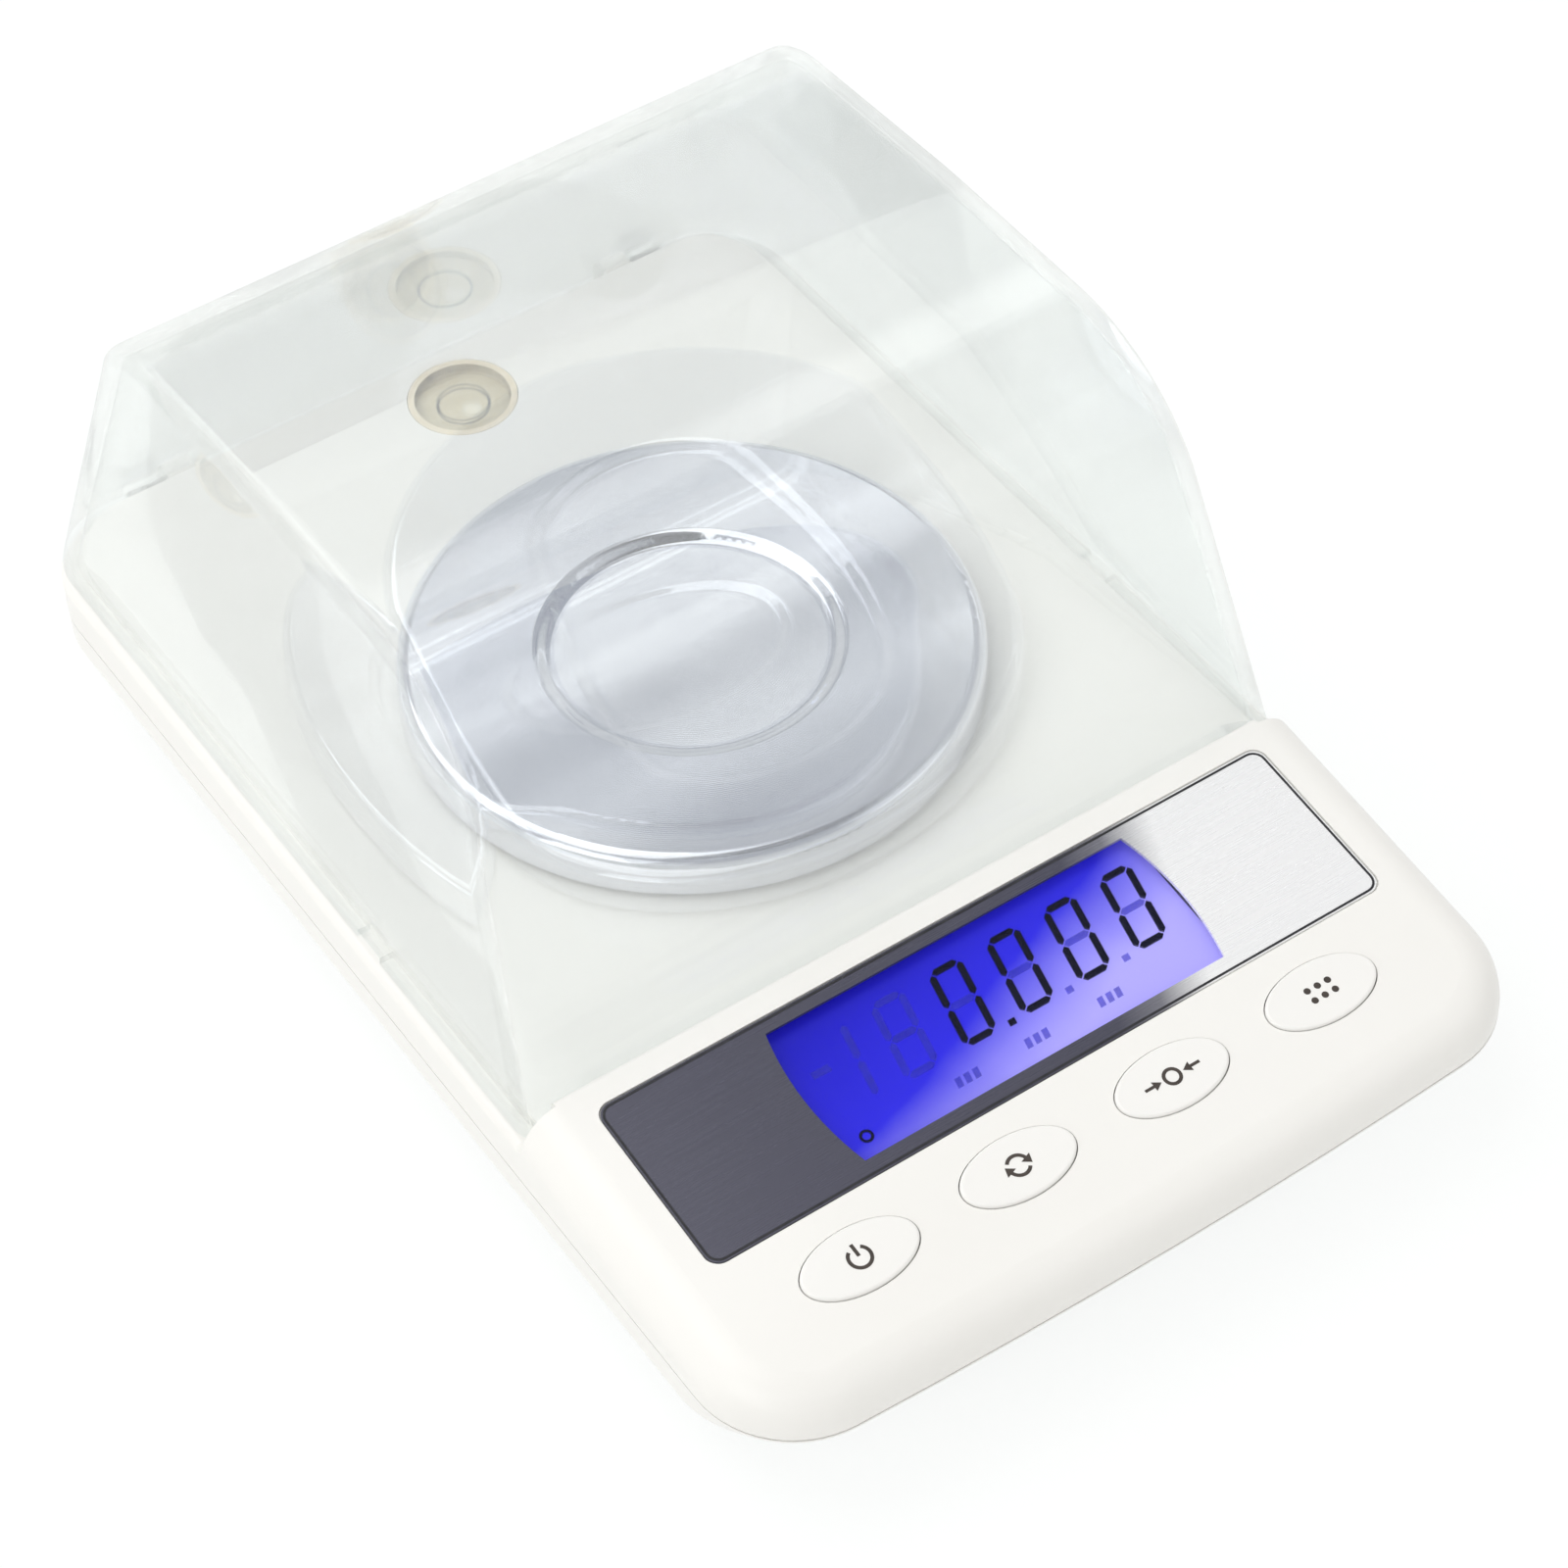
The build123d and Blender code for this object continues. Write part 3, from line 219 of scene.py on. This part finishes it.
# thin: how much of it is a sheet that doesn't bend the view; sheen: its shine face on and edge on
hoodLook = {"tint": (0.985, 0.995, 0.992), "ior": 1.3, "rough": (0.0, 0.012), "flow": 14, "wave": 0.00012,
            "waveShare": 0.2, "shadowTint": (0.955, 0.96, 0.957), "thin": 0.76, "film": (0.972, 0.982, 0.978),
            "sheen": (0.025, 0.55), "sheenRough": 0.03, "steepness": 4.5}
paneLook = dict(hoodLook, tint=(0.97, 0.98, 1.0), thin=0.9, sheen=(0.01, 0.3))
lensLook = dict(hoodLook, tint=(0.99, 0.98, 0.95), flow=60, thin=0.6)


def clearMaterial(name, look):
    mat = newMaterial(name)
    tree = mat.node_tree
    glass = addNode(tree, "BsdfPrincipled", IOR=look["ior"], Base_Color=(*look["tint"], 1))
    glass.inputs["Transmission Weight"].default_value = 1
    drift = noise(tree, objectSpace(tree), look["flow"], 2, 0.4)
    tree.links.new(spread(tree, drift, 0.3, 0.7, *look["rough"]), glass.inputs["Roughness"])
    tree.links.new(relief(tree, drift, look["waveShare"], look["wave"]), glass.inputs["Normal"])
    film = addNode(tree, "BsdfTransparent", Color=(*look["film"], 1))
    shine = addNode(tree, "BsdfGlossy", Roughness=look["sheenRough"])
    edge = addNode(tree, "LayerWeight", Blend=0.5)
    steep = sums(tree, "POWER", edge.outputs["Facing"], look["steepness"])
    sheen = spread(tree, steep, 0, 1, *look["sheen"])
    skin = mixShader(tree, sheen, film.outputs["BSDF"], shine.outputs["BSDF"])
    sheet = mixShader(tree, look["thin"], glass.outputs["BSDF"], skin)
    through = addNode(tree, "BsdfTransparent", Color=(*look["shadowTint"], 1))
    rays = tree.nodes.new("ShaderNodeLightPath")
    return finishMaterial(mat, mixShader(tree, rays.outputs["Is Shadow Ray"], sheet, through.outputs["BSDF"]))


hoodAcrylic = clearMaterial("hood_clear_acrylic", hoodLook)
paneAcrylic = clearMaterial("display_clear_pane", paneLook)
lensAcrylic = clearMaterial("level_clear_lens", lensLook)


# polished pan

panLook = {"centre": (0, 13.6 * mm, 0), "tone": (0.79, 0.8, 0.85), "tone2": (0.84, 0.85, 0.89),
           "gloss": (0.055, 0.1), "turning": 900, "scuff": 240, "well": 19.0 * mm, "wellEdge": 0.3 * mm,
           "wellTone": (0.93, 0.935, 0.96)}


def panMaterial(look):
    mat = newMaterial("pan_polished_steel")
    tree = mat.node_tree
    where = objectSpace(tree, centre=look["centre"])
    steel = addNode(tree, "BsdfPrincipled", Metallic=1.0)
    smear = noise(tree, where, 30, 4, 0.6, 0.6)
    rings = addNode(tree, "TexWave", wave_type="RINGS", rings_direction="Z", Scale=look["turning"],
                    Distortion=1.5, Detail=2)
    tree.links.new(where, rings.inputs["Vector"])
    scuff = noise(tree, where, look["scuff"], 6, 0.7)
    flat = addNode(tree, "VectorMath", operation="MULTIPLY")
    flat.inputs[1].default_value = (1, 1, 0)
    tree.links.new(where, flat.inputs[0])
    reach = addNode(tree, "VectorMath", operation="LENGTH")
    tree.links.new(flat.outputs["Vector"], reach.inputs[0])
    inWell = spread(tree, reach.outputs["Value"], look["well"], look["well"] + look["wellEdge"], 1, 0)
    tone = ramp(tree, smear, [(0.3, look["tone"]), (0.7, look["tone2"])])
    tree.links.new(mixTone(tree, inWell, tone, look["wellTone"]), steel.inputs["Base Color"])
    tree.links.new(spread(tree, smear, 0.3, 0.7, *look["gloss"]), steel.inputs["Roughness"])
    first = relief(tree, rings.outputs["Fac"], 0.02, 0.00002)
    tree.links.new(relief(tree, scuff, 0.015, 0.00003, first), steel.inputs["Normal"])
    return finishMaterial(mat, steel.outputs["BSDF"])


panSteel = panMaterial(panLook)


# display plate: metal foil with a painted reflection, dark on the left and bright on the right

plateReflectionLook = {"dark": (0.075, 0.075, 0.105), "middle": (0.2, 0.2, 0.23), "bright": (0.95, 0.955, 0.95),
             "from": 36 * mm, "to": 56 * mm, "lean": -0.35, "brush": 60, "gloss": (0.22, 0.34)}


def plateMaterial(look):
    mat = newMaterial("display_plate_foil_painted_reflection")
    tree = mat.node_tree
    places = axes(tree, objectSpace(tree))
    along = sums(tree, "ADD", places["X"], sums(tree, "MULTIPLY", places["Y"], look["lean"]))
    share = spread(tree, along, look["from"], look["to"], 0, 1)
    foil = addNode(tree, "BsdfPrincipled", Metallic=0.25, Coat_Weight=0.15, Coat_Roughness=0.12)
    # painted reflection: the base colour runs from dark to bright across the plate, leaning with depth
    tone = ramp(tree, share, [(0.0, look["dark"]), (0.35, look["middle"]), (0.75, look["bright"])])
    tree.links.new(tone, foil.inputs["Base Color"])
    brush = noise(tree, objectSpace(tree, size=(1, 0.03, 0.03)), look["brush"], 4, 0.7)
    tree.links.new(spread(tree, brush, 0.3, 0.7, *look["gloss"]), foil.inputs["Roughness"])
    tree.links.new(relief(tree, brush, 0.08, 0.00004), foil.inputs["Normal"])
    return finishMaterial(mat, foil.outputs["BSDF"])


plateFoilPaintedReflection = plateMaterial(plateReflectionLook)


# lit liquid crystal panel

# across and down: where the panel starts and stops turning pale, and by how much
lcdLook = {"deep": (0.008, 0.006, 0.4), "mid": (0.02, 0.016, 0.58), "pale": (0.36, 0.32, 0.82), "glow": 0.45,
           "across": (-30 * mm, 32 * mm, 0, 0.6), "down": (-46 * mm, -68 * mm, 0, 0.55), "cloud": 0.12}


def lcdMaterial(look):
    mat = newMaterial("lcd_lit_blue")
    tree = mat.node_tree
    where = objectSpace(tree)
    places = axes(tree, where)
    across = spread(tree, places["X"], *look["across"])
    both = sums(tree, "ADD", across, spread(tree, places["Y"], *look["down"]))
    cloud = sums(tree, "MULTIPLY", noise(tree, where, 90, 2, 0.4), look["cloud"])
    paleness = sums(tree, "ADD", cloud, both)
    tone = ramp(tree, paleness, [(0.15, look["deep"]), (0.6, look["mid"]), (0.95, look["pale"])])
    panel = addNode(tree, "BsdfPrincipled", Roughness=0.35, Specular_IOR_Level=0.1,
                    Emission_Strength=look["glow"])
    tree.links.new(tone, panel.inputs["Base Color"])
    tree.links.new(tone, panel.inputs["Emission Color"])
    dots = noise(tree, where, 3500, 1, 0.4)
    tree.links.new(relief(tree, dots, 0.05, 0.00003), panel.inputs["Normal"])
    return finishMaterial(mat, panel.outputs["BSDF"])


lcdBlue = lcdMaterial(lcdLook)


ghostLook = {"tone": (0.02, 0.02, 0.5), "paler": (0.03, 0.03, 0.75), "cover": 0.3}


def ghostMaterial(look):
    mat = newMaterial("lcd_unlit_segment")
    tree = mat.node_tree
    film = addNode(tree, "BsdfPrincipled", Roughness=0.3, Alpha=look["cover"])
    cloud = noise(tree, objectSpace(tree), 700, 2, 0.5)
    tree.links.new(ramp(tree, cloud, [(0.3, look["tone"]), (0.7, look["paler"])]), film.inputs["Base Color"])
    return finishMaterial(mat, film.outputs["BSDF"])


ghostInk = ghostMaterial(ghostLook)
print("scale display and clear finishes done")


# batteries: sleeve in the middle, metal at the ends

batteryLook = {"sleeve": (0.03, 0.1, 0.07), "band": (0.5, 0.38, 0.12), "metal": (0.7, 0.7, 0.7),
               "half": 21.25 * mm}


def batteryMaterial(look):
    mat = newMaterial("cell_sleeve")
    tree = mat.node_tree
    where = objectSpace(tree)
    share = spread(tree, sums(tree, "ABSOLUTE", axes(tree, where)["X"]), 0, look["half"], 0, 1)
    tone = ramp(tree, share, [(0.0, look["sleeve"]), (0.62, look["sleeve"]), (0.64, look["band"]),
                              (0.97, look["band"]), (0.98, look["metal"])])
    skin = addNode(tree, "BsdfPrincipled", Roughness=0.3, Metallic=0.3)
    tree.links.new(tone, skin.inputs["Base Color"])
    tree.links.new(relief(tree, noise(tree, where, 900, 3, 0.5), 0.1, 0.00004), skin.inputs["Normal"])
    return finishMaterial(mat, skin.outputs["BSDF"])


cellSleeve = batteryMaterial(batteryLook)

finishUse = (
    (housingPlastic, ("upper_housing", "lower_housing")), (doorPlastic, ("battery_door",)),
    (keyPlastic, ("power_button", "mode_button", "tare_button", "count_button")),
    (hoodAcrylic, ("hood",)), (paneAcrylic, ("display_window",)), (lensAcrylic, ("level_lens",)),
    (panSteel, ("weighing_pan",)), (plateFoilPaintedReflection, ("display_plate",)), (lcdBlue, ("lcd_glass",)),
    (cellSleeve, ("batteries",)), (ready["carrierPlastic"], ("pan_carrier",)),
    (ready["lightGuide"], ("backlight",)), (ready["solderMask"], ("main_board",)),
    (ready["darkPlastic"], ("lcd_frame", "tact_switches", "foot_wheel_right", "foot_wheel_left",
                            "adapter_inlet")),
    (ready["screwZinc"], ("board_screws", "housing_screws", "carrier_screws", "load_cell_screws",
                          "overload_stop", "hinge_pins", "battery_contacts")),
    (ready["milledAluminium"], ("load_cell", "load_cell_foot")), (ready["gaugeFoil"], ("strain_gauges",)),
    (ready["turnedBrass"], ("foot_inserts",)), (ready["levelCup"], ("level_cup",)),
    (ready["rubber"], ("foot_pad_right", "foot_pad_left", "front_feet")),
    (ready["levelLiquid"], ("level_fluid",)),
)
nodeFinish = {nodeName: finish for finish, names in finishUse for nodeName in names}
for nodeName, finish in nodeFinish.items():
    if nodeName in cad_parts:
        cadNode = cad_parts[nodeName]
        cadNode.data.materials.clear()
        cadNode.data.materials.append(finish)
print("scale nodes without a finish:", sorted(set(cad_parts) - set(nodeFinish)))


# piece helpers

def finishPiece(bm, name, finish, body, smooth=False):
    bmesh.ops.remove_doubles(bm, verts=bm.verts, dist=1e-7)
    bmesh.ops.recalc_face_normals(bm, faces=bm.faces)
    mesh = bpy.data.meshes.new(name)
    bm.to_mesh(mesh)
    bm.free()
    if smooth:
        mesh.shade_smooth()
    mesh.materials.append(finish)
    piece = bpy.data.objects.new(name, mesh)
    bpy.context.scene.collection.objects.link(piece)
    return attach(piece, body)


console = {"lineY": -40.5, "lineZ": 30.0, "slope": 7.0, "plateX": 0.6, "plateV": -18.0, "panelDepth": 1.9}


# millimetres on the sloped face to metres in the frame
def ontoConsole(bm, x, v, lift):
    place = Matrix.Translation((0, console["lineY"] * mm, console["lineZ"] * mm))
    place = place @ Matrix.Rotation(radians(console["slope"]), 4, "X")
    place = place @ Matrix.Translation((x * mm, v * mm, lift * mm)) @ Matrix.Scale(mm, 4)
    bmesh.ops.transform(bm, matrix=place, verts=bm.verts)


def thicken(bm, faces, height):
    grown = bmesh.ops.extrude_face_region(bm, geom=faces)
    top = [g for g in grown["geom"] if isinstance(g, bmesh.types.BMVert)]
    bmesh.ops.translate(bm, verts=top, vec=(0, 0, height))


def facesUp(faces):
    for f in faces:
        f.normal_update()
        if f.normal.z < 0:
            f.normal_flip()
    return list(faces)


# a thin slab from a few corner points
def flatShape(bm, points, height):
    face = bm.faces.new([bm.verts.new((x, y, 0)) for x, y in points])
    thicken(bm, facesUp([face]), height)


# a flat ring or arc of even width
def arcBand(bm, centre, radius, width, start, sweep, height, steps=28):
    before = set(bm.faces)
    ends = [bm.verts.new((centre[0] + r * cos(start), centre[1] + r * sin(start), 0))
            for r in (radius - width / 2, radius + width / 2)]
    bmesh.ops.spin(bm, geom=[*ends, bm.edges.new(ends)], cent=(*centre, 0), axis=(0, 0, 1), angle=sweep,
                   steps=steps, use_merge=abs(sweep) > 2 * pi - 0.01)
    thicken(bm, facesUp([f for f in bm.faces if f not in before]), height)


# thin printed line round the display plate

plateEdge = {"width": 107.6, "height": 27.2, "corner": 1.9, "line": 0.34, "lift": -0.1, "thick": 0.03}


def makePlateEdge(edge):
    bm = bmesh.new()
    bmesh.ops.create_grid(bm, x_segments=1, y_segments=1, size=0.5)
    bmesh.ops.scale(bm, vec=(edge["width"], edge["height"], 1), verts=bm.verts)
    bmesh.ops.bevel(bm, geom=bm.verts[:], offset=edge["corner"], segments=6, profile=0.5, affect="VERTICES",
                    material=-1)
    inner = bmesh.ops.inset_region(bm, faces=bm.faces[:], thickness=edge["line"], use_even_offset=True,
                                     use_boundary=True)
    bmesh.ops.delete(bm, geom=[f for f in bm.faces if f not in inner["faces"]], context="FACES")
    thicken(bm, bm.faces[:], edge["thick"])
    ontoConsole(bm, console["plateX"], console["plateV"], edge["lift"])
    finishPiece(bm, "display_plate_line", ready["inkBlack"], "base")


makePlateEdge(plateEdge)


# liquid crystal segments: four lit zeros, a point, and the unlit ones

digitLook = {"width": 5.4, "height": 12.5, "stroke": 1.05, "gap": 0.16, "slant": 11.0, "pitch": 9.37,
             "firstX": -3.1, "centreV": -15.45, "lift": 0.03, "thick": 0.04}
# corner points about the first lit zero's middle, in mm
markLook = {"point": ((3.1, -6.6), (4.2, -6.6), (4.35, -5.6), (3.25, -5.6)), "steadyAt": (-22.4, -10.1),
            "steadyRadius": 0.8, "steadyLine": 0.4, "dash": ((0, 0), (0.9, 0), (1.2, 1.5), (0.3, 1.5)),
            "dashX": (-8.2, 3.0, 14.9), "dashY": -10.7, "dashStep": 1.4,
            "minus": ((-23.2, 0.6), (-20.4, 0.6), (-20.4, 1.7), (-23.2, 1.7))}


# one bar of a digit, with pointed ends
def segmentBar(bm, a, b, stroke, height):
    a, b = Vector(a), Vector(b)
    along = (b - a).normalized()
    side = Vector((-along.y, along.x)) * stroke / 2
    tip = along * stroke / 2
    corners = [a, a + tip + side, b - tip + side, b, b - tip - side, a + tip - side]
    flatShape(bm, corners, height)


def digitBars(look):
    x = (look["width"] - look["stroke"]) / 2
    y = (look["height"] - look["stroke"]) / 2
    g = look["gap"]
    return {"a": ((-x + g, y), (x - g, y)), "b": ((x, y - g), (x, g)), "c": ((x, -g), (x, -y + g)),
            "d": ((-x + g, -y), (x - g, -y)), "e": ((-x, -g), (-x, -y + g)),
            "f": ((-x, y - g), (-x, g)), "g": ((-x + g, 0), (x - g, 0))}


# wanted: pairs of a cell and the letters of its bars; cell 0 is the first lit zero
def drawDigits(look, wanted, name, finish, drawMarks):
    bm = bmesh.new()
    bars = digitBars(look)
    for cell, letters in wanted:
        part = bmesh.new()
        for letter in letters:
            segmentBar(part, *bars[letter], look["stroke"], look["thick"])
        lean = Matrix.Identity(4)
        lean[0][1] = tan(radians(look["slant"]))
        lean[0][3] = cell * look["pitch"]
        bmesh.ops.transform(part, matrix=lean, verts=part.verts)
        held = bpy.data.meshes.new("held")
        part.to_mesh(held)
        part.free()
        bm.from_mesh(held)
        bpy.data.meshes.remove(held)
    drawMarks(bm, look, markLook)
    ontoConsole(bm, look["firstX"], look["centreV"], look["lift"] - console["panelDepth"])
    finishPiece(bm, name, finish, "base")


def shifted(points, x, y=0):
    return [(px + x, py + y) for px, py in points]


def litMarks(bm, look, marks):
    flatShape(bm, marks["point"], look["thick"])
    arcBand(bm, marks["steadyAt"], marks["steadyRadius"], marks["steadyLine"], 0, 2 * pi, look["thick"], 16)


def unlitMarks(bm, look, marks):
    for x in marks["dashX"]:
        for step in range(3):
            flatShape(bm, shifted(marks["dash"], x + step * marks["dashStep"], marks["dashY"]), look["thick"])
    flatShape(bm, marks["minus"], look["thick"])
    for cell in (1, 2):
        flatShape(bm, shifted(marks["point"], cell * look["pitch"]), look["thick"])


litDigits = [(cell, "abcdef") for cell in range(4)]
unlitDigits = [(-2, "bc"), (-1, "abcdefg")] + [(cell, "g") for cell in range(4)]
drawDigits(digitLook, litDigits, "lcd_lit_segments", ready["lcdBlack"], litMarks)
drawDigits(digitLook, unlitDigits, "lcd_unlit_segments", ghostInk, unlitMarks)
print("scale display drawn")


# printed signs on the four keys: power, change, zero and count

keySigns = {"centreX": -0.2, "centreV": -40.8, "pitch": 24.7, "rise": 0.455, "thick": 0.03, "stroke": 0.5,
            "powerRadius": 1.55, "powerBar": (-0.25, 0.25, 0.2, 2.1), "changeRadius": 1.5, "changeStart": 20,
            "changeSweep": 125, "changeHead": (0.85, 1.15), "zeroRadius": 1.15, "shaft": (2.9, 4.4, 0.22),
            "head": (1.75, 2.95, 0.75), "dotX": (-1.7, 0, 1.7), "dotY": (-0.85, 0.85), "dotRadius": 0.5}


def signPower(bm, k):
    arcBand(bm, (0, 0), k["powerRadius"], k["stroke"], radians(125), radians(290), k["thick"])
    left, right, low, high = k["powerBar"]
    flatShape(bm, [(left, low), (right, low), (right, high), (left, high)], k["thick"])


def signChange(bm, k):
    radius, start, sweep = k["changeRadius"], radians(k["changeStart"]), radians(k["changeSweep"])
    half, length = k["changeHead"]
    for turn in (0, pi):
        arcBand(bm, (0, 0), radius, k["stroke"], start + turn, sweep, k["thick"])
        out = Vector((cos(start + turn), sin(start + turn)))
        back = Vector((out.y, -out.x))
        middle = out * radius
        flatShape(bm, [middle + out * half, middle + back * length, middle - out * half], k["thick"])


def signZero(bm, k):
    arcBand(bm, (0, 0), k["zeroRadius"], k["stroke"], 0, 2 * pi, k["thick"], 24)
    near, far, half = k["shaft"]
    tip, back, wide = k["head"]
    for side in (-1, 1):
        shaft = [(side * far, -half), (side * near, -half), (side * near, half), (side * far, half)]
        flatShape(bm, shaft[::side], k["thick"])
        flatShape(bm, [(side * back, -wide), (side * tip, 0), (side * back, wide)][::side], k["thick"])


def signCount(bm, k):
    for x in k["dotX"]:
        for y in k["dotY"]:
            disc = bmesh.ops.create_circle(bm, cap_ends=True, radius=k["dotRadius"], segments=16,
                                           matrix=Matrix.Translation((x, y, 0)))
            thicken(bm, facesUp({f for v in disc["verts"] for f in v.link_faces}), k["thick"])


def drawKeySigns(k):
    signs = (("power_key", signPower), ("mode_key", signChange), ("tare_key", signZero),
             ("count_key", signCount))
    for place, (body, draw) in enumerate(signs):
        bm = bmesh.new()
        draw(bm, k)
        ontoConsole(bm, k["centreX"] + (place - 1.5) * k["pitch"], k["centreV"], k["rise"])
        finishPiece(bm, body + "_sign", ready["inkBrown"], body)


drawKeySigns(keySigns)
print("scale key signs drawn")


# round level: liquid with its bubble, and the ring under the lens

levelLook = {"x": 3.5, "y": 82.0, "low": 21.05, "high": 26.14, "radius": 7.24, "edge": 0.3, "ring": 3.9,
             "line": 0.45, "ringLift": 0.015, "ringThick": 0.02, "bubble": 1.5, "bubbleX": 0.5, "bubbleY": -1.6,
             "bubbleRise": 0.05}


def makeLevelLiquid(look):
    bm = bmesh.new()
    radius, depth = look["radius"] * mm, (look["high"] - look["low"]) * mm
    bmesh.ops.create_cone(bm, cap_ends=True, segments=64, radius1=radius, radius2=radius, depth=depth)
    rims = [e for e in bm.edges if abs(e.verts[0].co.z - e.verts[1].co.z) < 1e-9]
    bmesh.ops.bevel(bm, geom=rims, offset=look["edge"] * mm, segments=3, profile=0.5, affect="EDGES",
                    material=-1)
    middle = Vector((look["x"], look["y"], (look["high"] + look["low"]) / 2)) * mm
    bmesh.ops.translate(bm, verts=bm.verts, vec=middle)
    liquid = finishPiece(bm, "level_liquid", ready["levelLiquid"], "base", smooth=True)
    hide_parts("level_fluid")


def makeLevelRing(look):
    bm = bmesh.new()
    arcBand(bm, (look["x"], look["y"]), look["ring"], look["line"], 0, 2 * pi, look["ringThick"], 64)
    bmesh.ops.translate(bm, verts=bm.verts, vec=(0, 0, look["high"] + look["ringLift"]))
    bmesh.ops.scale(bm, vec=(mm, mm, mm), verts=bm.verts)
    finishPiece(bm, "level_ring", ready["inkBrown"], "base")


def makeLevelBubble(look):
    bm = bmesh.new()
    bmesh.ops.create_uvsphere(bm, u_segments=32, v_segments=16, radius=look["bubble"] * mm)
    bmesh.ops.scale(bm, vec=(1, 1, look["bubbleRise"]), verts=bm.verts)
    place = Vector((look["x"] + look["bubbleX"], look["y"] + look["bubbleY"], look["high"])) * mm
    bmesh.ops.translate(bm, verts=bm.verts, vec=place)
    finishPiece(bm, "level_bubble", ready["levelBubble"], "base", smooth=True)


makeLevelLiquid(levelLook)
makeLevelRing(levelLook)
makeLevelBubble(levelLook)
print("scale level made")


# floor, light and camera

# shown and seen: what the camera sees of floor and air; bands: middle and half width of the strips of light
# that the pan mirrors, as a share of depth to height
roomLook = {"floor": (0.93, 0.935, 0.93), "shown": (1.02, 1.035, 1.03), "share": 0.8, "half": 6,
            "fill": (0.66, 0.653, 0.645), "low": (0.85, 0.85, 0.85), "high": (0.5, 0.51, 0.56),
            "white": (2.2, 2.2, 2.2), "dark": (0.1, 0.1, 0.11), "seen": (0.985, 1.0, 0.995),
            "bands": ((0.790, 0.012), (0.851, 0.013), (0.884, 0.016)), "bandCore": 0.4}


def makeFloor(look):
    bm = bmesh.new()
    bmesh.ops.create_grid(bm, x_segments=1, y_segments=1, size=look["half"])
    mesh = bpy.data.meshes.new("table_top")
    bm.to_mesh(mesh)
    bm.free()
    table = bpy.data.objects.new("table_top", mesh)
    bpy.context.scene.collection.objects.link(table)
    mat = newMaterial("table_pale")
    tree = mat.node_tree
    matt = addNode(tree, "BsdfDiffuse", Color=(*look["floor"], 1))
    lit = addNode(tree, "Emission", Color=(*look["shown"], 1), Strength=1)
    rays = tree.nodes.new("ShaderNodeLightPath").outputs
    seen = sums(tree, "MAXIMUM", rays["Is Camera Ray"], rays["Is Glossy Ray"])
    seen = sums(tree, "MAXIMUM", seen, rays["Is Transmission Ray"])
    part = sums(tree, "MULTIPLY", seen, look["share"])
    skin = mixShader(tree, part, matt.outputs["BSDF"], lit.outputs["Emission"])
    mesh.materials.append(finishMaterial(mat, skin))


makeFloor(roomLook)


def makeSky(look):
    world = bpy.data.worlds.new("scale_room")
    bpy.context.scene.world = world
    world.use_nodes = True
    tree = world.node_tree
    tree.nodes.clear()
    way = axes(tree, tree.nodes.new("ShaderNodeTexCoord").outputs["Generated"])
    tone = ramp(tree, way["Z"], [(0.0, look["low"]), (0.4, look["low"]), (0.55, look["high"]),
                                 (0.9, look["high"]), (0.93, look["dark"])])
    lean = sums(tree, "DIVIDE", way["Y"], way["Z"])
    for middle, half in look["bands"]:
        away = sums(tree, "ABSOLUTE", sums(tree, "SUBTRACT", lean, middle))
        tone = mixTone(tree, spread(tree, away, half * look["bandCore"], half, 1, 0), tone, look["white"])
    rays = tree.nodes.new("ShaderNodeLightPath").outputs
    tone = mixTone(tree, rays["Is Diffuse Ray"], tone, look["fill"])
    tone = mixTone(tree, rays["Is Camera Ray"], tone, look["seen"])
    back = tree.nodes.new("ShaderNodeBackground")
    tree.links.new(tone, back.inputs["Color"])
    out = tree.nodes.new("ShaderNodeOutputWorld")
    tree.links.new(back.outputs["Background"], out.inputs["Surface"])


makeSky(roomLook)

lampAim = (0, 0, 30 * mm)
lamps = {
    "lampTop": {"at": (-0.25, 0.35, 0.95), "size": 0.9, "power": 4.4},
    "lampLeft": {"at": (-1.1, -0.4, 0.8), "size": 0.8, "power": 3.2},
    "lampRight": {"at": (0.9, -0.8, 0.9), "size": 0.9, "power": 1.3},
}


def makeLamps(group):
    for name, lamp in group.items():
        data = bpy.data.lights.new(name, "AREA")
        data.shape = "SQUARE"
        data.size = lamp["size"]
        data.energy = lamp["power"]
        holder = bpy.data.objects.new(name, data)
        bpy.context.scene.collection.objects.link(holder)
        holder.location = lamp["at"]
        away = Vector(lamp["at"]) - Vector(lampAim)
        holder.rotation_euler = away.to_track_quat("Z", "Y").to_euler()


makeLamps(lamps)

shot = {"at": (-0.210709, -0.346576, 0.466764), "lens": 98.602, "sensor": 36, "near": 0.01, "far": 50,
        "right": (0.8271255, -0.5609827, -0.0340865),
        "up": (0.4360616, 0.6023113, 0.668634), "back": (-0.3545614, -0.567908, 0.74281)}


def makeCamera(look):
    data = bpy.data.cameras.new("shot")
    data.lens = look["lens"]
    data.sensor_width = look["sensor"]
    data.clip_start, data.clip_end = look["near"], look["far"]
    data.dof.use_dof = False
    holder = bpy.data.objects.new("shot", data)
    bpy.context.scene.collection.objects.link(holder)
    turn = Matrix((look["right"], look["up"], look["back"])).transposed().to_4x4()
    holder.matrix_world = Matrix.Translation(look["at"]) @ turn
    bpy.context.scene.camera = holder


makeCamera(shot)
bpy.context.scene.view_settings.view_transform = "Standard"
print("scale room and camera ready")
